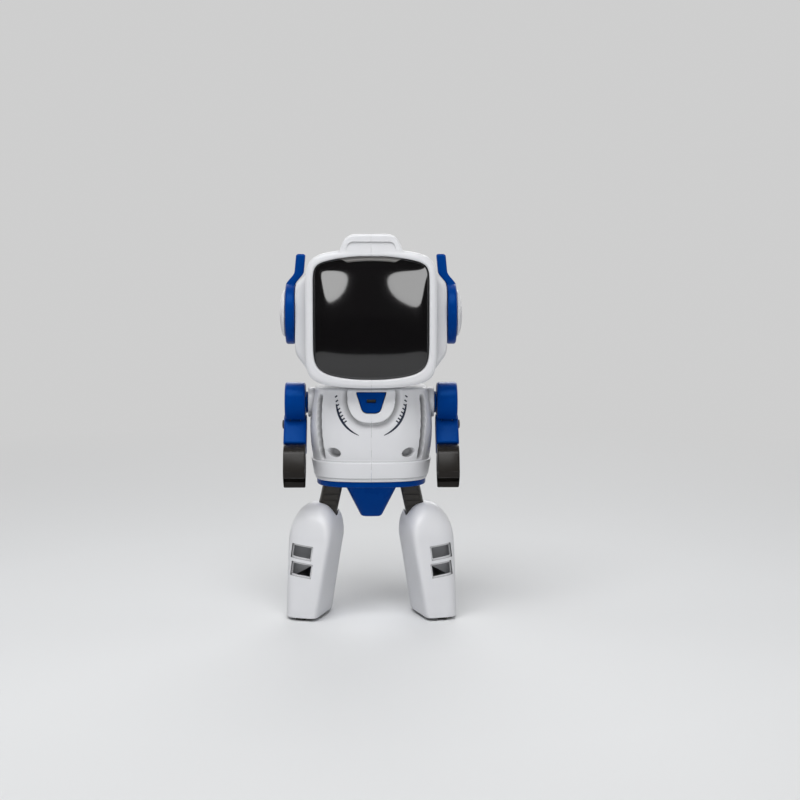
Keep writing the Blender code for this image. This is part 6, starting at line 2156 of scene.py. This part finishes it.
    def shell(self) -> Object:
        """The hollow boot with its vents, each in a shallow frame.

        Returns:
            The shell.
        """
        boot = self.form(f"{self.side.label}_boot_shell", 0.0, self.low)
        for index in range(2):
            frame, floor = self.vent(index, self.vent_border), self.form("floor", self.vent_depth, self.below)
            Solid.change(boot, Cut.REMOVE, Solid.change(frame, Cut.REMOVE, floor))
        hollow = self.form("hollow", WALL, self.below)
        Solid.change(boot, Cut.REMOVE, hollow, self.vent(0, 0.0), self.vent(1, 0.0))
        Solid.place(boot, self.frame())
        return Solid.change(boot, Cut.REMOVE, self.leg_room())

    def baffle(self) -> Object:
        """A grey plate inside the boot, cut off at a slant behind the lower vent: painted shade for the
        shaded hollow seen through the vents.

        Returns:
            The plate.
        """
        outer, (low, knee, top) = self.side.value * self.baffle_half, self.baffle_levels
        outline = [(outer, low), (-outer, knee), (-outer, top), (outer, top)]
        plate = Solid.prism(f"{self.side.label}_vent_baffle", outline, Axis.Y, *self.baffle_ends)
        Solid.change(plate, Cut.KEEP, self.form("inside", WALL, self.below))
        Solid.place(plate, self.frame())
        return Solid.change(plate, Cut.REMOVE, self.leg_room())

    def sole(self) -> Object:
        """The sole plate with a grooved skid at each end and a slot for the wheel.

        Returns:
            The sole.
        """
        rings = [self.ring(z, WALL + GAP) for z in (self.low, self.low + self.sole_thickness)]
        plate, half = Solid.loft(f"{self.side.label}_sole_plate", rings), self.skid_half
        for y in self.skids:
            low = (-half, y - half, 0.0)
            skid = Solid.box("skid", low, (half, low[1] + 2 * half, half), self.skid_soft)
            start, step = (0.0, low[1] + self.skid_start, 0.0), (0.0, self.skid_pitch, 0.0)
            RibCut(DARK_SATIN, 3, start, step, self.skid_groove).apply(skid)
            Solid.change(plate, Cut.JOIN, skid)
        Solid.place(plate, self.frame())
        x, y, (wide, reach) = self.side.value * self.place[0], self.place[1], self.slot_half
        slot = Solid.box("slot", (x - wide, y - reach, -MM), (x + wide, y + reach, self.slot_top))
        return Solid.change(plate, Cut.REMOVE, slot)

    def build(self) -> list[Piece]:
        """Make the boot's pieces.

        Returns:
            The pieces.
        """
        name = self.side.label
        tyre = TyreTread(self.side, self.place, self.wheel_radius, self.wheel_half).build()
        return [
            Piece(self.shell(), "torso", SHELL_WHITE_WITH_PAINTED_SHADE, (f"{name}_boot",)),
            # The grey plate behind the vents is painted shade for the boot's shaded inside.
            Piece(self.baffle(), "torso", VENT_PAINTED_SHADE),
            Piece(self.sole(), "torso", DARK_SATIN, (f"{name}_sole",)),
            Piece(tyre, f"{name}_wheel", TYRE_BLACK, (f"{name}_tyre",)),
        ]


@dataclass
class TyreTread:
    """A round tyre with lugs across its tread."""

    side: Side
    place: Pair
    radius: float
    half: float
    tread_depth: float = 0.45 * MM
    thickness: float = 2.2 * MM
    soft: float = 0.6 * MM
    lugs: int = 22
    lug: Point = (4.6 * MM, 1.1 * MM, 0.9 * MM)
    lug_depth: float = 0.5 * MM

    def ring(self) -> Object:
        """The tyre without its lugs.

        Returns:
            The plain tyre.
        """
        outer, half, soft = self.radius - self.tread_depth, self.half, fillet(self.soft, 6)
        profile = [(outer - across, along - half) for along, across in soft]
        profile += [(outer - along, half - across) for along, across in soft]
        body = Solid.turned(f"{self.side.label}_tyre_tread", profile, Axis.X)
        bore = Solid.rod("bore", self.radius - self.thickness, (-half - MM, half + MM), Axis.X)
        return Solid.change(body, Cut.REMOVE, bore)

    def build(self) -> Object:
        """Set the lugs round the tyre.

        Returns:
            The tyre as one mesh.
        """
        sheet = NodeSheet("tyre_tread")
        feeds = {"Vertices": sheet.size("Lugs", "Int"), "Radius": sheet.size("Pitch Radius")}
        circle = sheet.add("GeometryNodeMeshCircle", "Mesh", feeds)
        lug = sheet.add("GeometryNodeMeshCube", "Mesh", {"Size": sheet.size("Lug", "Vector")})
        feeds = {"Geometry": circle, "Rotation": (0.0, pi / 2, 0.0)}
        upright = sheet.add("GeometryNodeTransform", "Geometry", feeds)
        place = sheet.add("GeometryNodeInputPosition", "Position")
        turn = sheet.add("FunctionNodeAlignRotationToVector", "Rotation", {"Vector": place}, axis="Z")
        both = add_node(sheet.tree, "GeometryNodeJoinGeometry")
        for part in (sheet.given, sheet.copies(upright, {"Instance": lug, "Rotation": turn})):
            sheet.tree.links.new(part, both.inputs["Geometry"])
        sheet.end(both.outputs["Geometry"])
        values = {"Lugs": self.lugs, "Pitch Radius": self.radius - self.lug_depth, "Lug": self.lug}
        tyre = sheet.run(self.ring(), TYRE_BLACK, values)
        spot = (self.side.value * self.place[0], self.place[1], self.radius)
        return Solid.place(tyre, Matrix.Translation(spot))


@dataclass
class Fasteners:
    """The screws that hold the shells, the door and the legs."""

    shell_seat: float = -5.3 * MM
    shell_length: float = 11.0 * MM
    head_depth: float = 1.5 * MM
    short_length: float = 7.0 * MM

    def build(self) -> list[Piece]:
        """Make one piece of screws for each body.

        Returns:
            The pieces.
        """
        inwards, short = (-1.0, 0.0, 0.0), self.short_length
        head = [((self.shell_seat, *spot), inwards, self.shell_length) for spot in HELMET_SCREWS]
        body = [((self.shell_seat, *spot), inwards, self.shell_length) for spot in TORSO_SCREWS]
        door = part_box("battery_door_screw")
        body.append(((0.0, door[1][1] - self.head_depth, DOOR_SCREW_HEIGHT), (0.0, 1.0, 0.0), short))
        for side in Side:
            low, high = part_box(f"{side.label}_leg_screw")
            seat = ((low[0] + high[0]) / 2, low[1] + self.head_depth, (low[2] + high[2]) / 2)
            body.append((seat, (0.0, -1.0, 0.0), short))
        pair = ("helmet_screw_1", "helmet_screw_2")
        names = ("torso_screw_1", "torso_screw_2", "battery_door_screw", "right_leg_screw", "left_leg_screw")
        return [
            Piece(Screws("helmet_fasteners", head).build(), "head", SCREW_STEEL, pair),
            Piece(Screws("body_fasteners", body).build(), "torso", SCREW_STEEL, names),
        ]


@dataclass
class Inside:
    """The CAD pieces that keep their own shape and get a finish."""

    finishes: tuple[tuple[Finish, tuple[str, ...]], ...] = (
        (BOARD_GREEN, ("eye_board", "main_board")),
        (LAMP_CLEAR, ("right_eye_lamps", "left_eye_lamps")),
        (CELL_WRAP, ("battery_cell_1", "battery_cell_2", "battery_cell_3")),
        (SCREW_STEEL, ("right_motor", "left_motor", "right_shoulder_clip", "left_shoulder_clip")),
        (DARK_SATIN, ("battery_box", "speaker", "neck_post", "power_switch_body")),
        (DARK_SATIN, ("right_gearbox", "left_gearbox", "right_wheel_hub", "left_wheel_hub")),
        (BLUE_GLOSS, ("right_shoulder_disc", "left_shoulder_disc")),
    )

    def dress(self, nodes: dict[str, Object]) -> None:
        """Give each carried-over CAD node its finish.

        Args:
            nodes: The CAD nodes by name.
        """
        for finish, names in self.finishes:
            for name in names:
                item = nodes[name]
                if not item.material_slots:
                    item.data.materials.append(finish.material())
                for slot in item.material_slots:
                    slot.material = finish.material()
                LOG.info("%s keeps its CAD shape", name)


@dataclass
class Studio:
    """A pale floor and background, soft lamps and the camera."""

    lens: float = 75.0
    sensor: float = 36.0
    clip: Pair = (0.01, 50.0)
    distance: float = 0.896
    height: float = 0.2044
    pitch: float = radians(5.6)
    swing: float = radians(1.2)
    aside: float = 0.0156
    floor_reach: float = 4.0
    floor_tone: tuple[float, float, float, float] = (0.8, 0.81, 0.82, 1.0)
    floor_roughness: float = 0.75
    floor_fade: Pair = (0.25, 0.9)
    dim_front: float = -0.68
    dim_share: float = 0.42
    dim_level: float = 0.02
    room_span: Pair = (0.15, 0.6)
    room_dark: float = 0.035
    fill: float = 0.2
    backdrop: float = 0.62
    body: Point = (0.0, 0.0, 0.12)
    face: Point = (0.0, -0.03, 0.165)

    def camera(self) -> None:
        """Set the camera at the viewing angle."""
        data = bpy.data.cameras.new("viewpoint")
        data.lens, data.sensor_width = self.lens, self.sensor
        data.clip_start, data.clip_end = self.clip
        eye = bpy.data.objects.new("viewpoint", data)
        ahead = Vector((sin(self.swing), cos(self.swing), 0.0))
        right = Vector((cos(self.swing), -sin(self.swing), 0.0))
        eye.location = right * self.aside - ahead * self.distance + Vector((0.0, 0.0, self.height))
        eye.rotation_euler = (radians(90) - self.pitch, 0.0, -self.swing)
        bpy.context.scene.collection.objects.link(eye)
        bpy.context.scene.camera = eye

    def floor(self) -> None:
        """Lay a round pale floor that fades to the backdrop, and is dim in reflections."""
        mesh = bmesh.new()
        bmesh.ops.create_circle(mesh, cap_ends=True, segments=TURNED, radius=self.floor_reach)
        data = bpy.data.meshes.new("floor")
        mesh.to_mesh(data)
        mesh.free()
        item = bpy.data.objects.new("floor", data)
        bpy.context.scene.collection.objects.link(item)
        material = bpy.data.materials.new("pale_floor")
        material.use_nodes = True
        tree = material.node_tree
        shader = tree.nodes["Principled BSDF"]
        shader.inputs["Base Color"].default_value = self.floor_tone
        shader.inputs["Roughness"].default_value = self.floor_roughness
        place = add_node(tree, "ShaderNodeTexCoord").outputs["Object"]
        path = add_node(tree, "ShaderNodeLightPath").outputs
        length = add_node(tree, "ShaderNodeVectorMath", {0: place}, operation="LENGTH").outputs["Value"]
        feeds = {"Value": length, "From Min": self.floor_fade[0], "From Max": self.floor_fade[1]}
        feeds = {0: add_node(tree, "ShaderNodeMapRange", feeds).outputs["Result"], 1: path["Is Camera Ray"]}
        seen = add_node(tree, "ShaderNodeMath", feeds, operation="MULTIPLY").outputs[0]
        pale = add_node(tree, "ShaderNodeEmission", {"Strength": self.backdrop}).outputs["Emission"]
        feeds = {"Fac": seen, 1: shader.outputs["BSDF"], 2: pale}
        mix = add_node(tree, "ShaderNodeMixShader", feeds).outputs["Shader"]
        ahead = add_node(tree, "ShaderNodeSeparateXYZ", {"Vector": place}).outputs["Y"]
        feeds = {0: ahead, 1: self.dim_front}
        near = add_node(tree, "ShaderNodeMath", feeds, operation="LESS_THAN").outputs[0]
        feeds = {"Value": near, "To Min": self.dim_share}
        feeds = {0: add_node(tree, "ShaderNodeMapRange", feeds).outputs["Result"], 1: path["Is Glossy Ray"]}
        dim = add_node(tree, "ShaderNodeMath", feeds, operation="MULTIPLY").outputs[0]
        shade = add_node(tree, "ShaderNodeEmission", {"Strength": self.dim_level}).outputs["Emission"]
        final = add_node(tree, "ShaderNodeMixShader", {"Fac": dim, 1: mix, 2: shade}).outputs["Shader"]
        tree.links.new(final, tree.nodes["Material Output"].inputs["Surface"])
        data.materials.append(material)

    def background(self) -> None:
        """Pale where it is seen, a dim room in front for reflections, and an even fill."""
        world = bpy.data.worlds.new("studio")
        world.use_nodes = True
        tree = world.node_tree
        path = add_node(tree, "ShaderNodeLightPath").outputs
        place = add_node(tree, "ShaderNodeTexCoord").outputs["Generated"]
        ahead = add_node(tree, "ShaderNodeSeparateXYZ", {"Vector": place}).outputs["Y"]
        feeds = {"Value": ahead, "From Min": self.room_span[0], "From Max": self.room_span[1]}
        feeds |= {"To Min": self.room_dark, "To Max": 1.0}
        room = add_node(tree, "ShaderNodeMapRange", feeds).outputs["Result"]
        feeds = {0: path["Is Glossy Ray"], 1: path["Is Transmission Ray"]}
        shiny = add_node(tree, "ShaderNodeMath", feeds, operation="MAXIMUM").outputs[0]
        feeds = {"Factor": shiny, "A": self.fill, "B": room}
        level = add_node(tree, "ShaderNodeMix", feeds).outputs["Result"]
        feeds = {"Factor": path["Is Camera Ray"], "A": level, "B": self.backdrop}
        light = tree.nodes["Background"]
        tree.links.new(add_node(tree, "ShaderNodeMix", feeds).outputs["Result"], light.inputs["Strength"])
        light.inputs["Color"].default_value = (1.0, 1.0, 1.0, 1.0)
        bpy.context.scene.world = world

    def lamp(
        self, name: str, shape: LampShape, spot: Point, aim: Point, size: Pair, power: float
    ) -> None:
        """Hang one soft lamp.

        Args:
            name: The lamp's name.
            shape: The outline of its face.
            spot: Where it hangs.
            aim: What it points at.
            size: Its width and height.
            power: Its power in watts.
        """
        data = bpy.data.lights.new(name, "AREA")
        data.shape, data.size, data.size_y, data.energy = shape.value, size[0], size[1], power
        item = bpy.data.objects.new(name, data)
        item.location = spot
        item.rotation_euler = (Vector(aim) - Vector(spot)).to_track_quat("-Z", "Y").to_euler()
        item.visible_camera = False
        bpy.context.scene.collection.objects.link(item)

    def build(self) -> None:
        """Set up the whole studio."""
        self.camera()
        self.floor()
        self.background()
        for name, spot, size, power in (
            ("top_softbox", (-0.15, -0.55, 1.1), (0.9, 0.7), 9.6),
            ("left_softbox", (-1.0, 0.15, 0.55), (0.5, 0.9), 1.0),
            ("right_softbox", (1.0, 0.2, 0.5), (0.5, 0.9), 0.85),
            ("back_softbox", (0.15, 1.2, 0.8), (0.9, 0.7), 4.5),
        ):
            self.lamp(name, LampShape.BOX, spot, self.body, size, power)
        self.lamp("left_window", LampShape.OVAL, (-0.37, -1.5, 0.385), self.face, (0.37, 0.36), 1.25)
        self.lamp("right_window", LampShape.OVAL, (0.48, -1.5, 0.37), self.face, (0.7, 0.42), 2.5)


def main() -> None:
    """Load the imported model, build every sub-assembly on it and set up the studio."""
    logging.basicConfig(level=logging.INFO, format="%(name)s %(message)s")
    for item in list(bpy.data.objects):
        bpy.data.objects.remove(item, do_unlink=True)
    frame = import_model()
    bpy.context.scene.view_settings.view_transform = "Standard"
    helmet, torso = Helmet(), Torso()
    builders = [helmet, Visor(helmet), *(Ear(side) for side in Side), torso, Chest(torso)]
    builders += [*(Arm(side) for side in Side), Hips(torso), *(Boot(side) for side in Side), Fasteners()]
    for builder in builders:
        for piece in builder.build():
            piece.settle()
    Inside().dress(frame["nodes"])
    Studio().build()


if __name__ == "__main__":
    main()
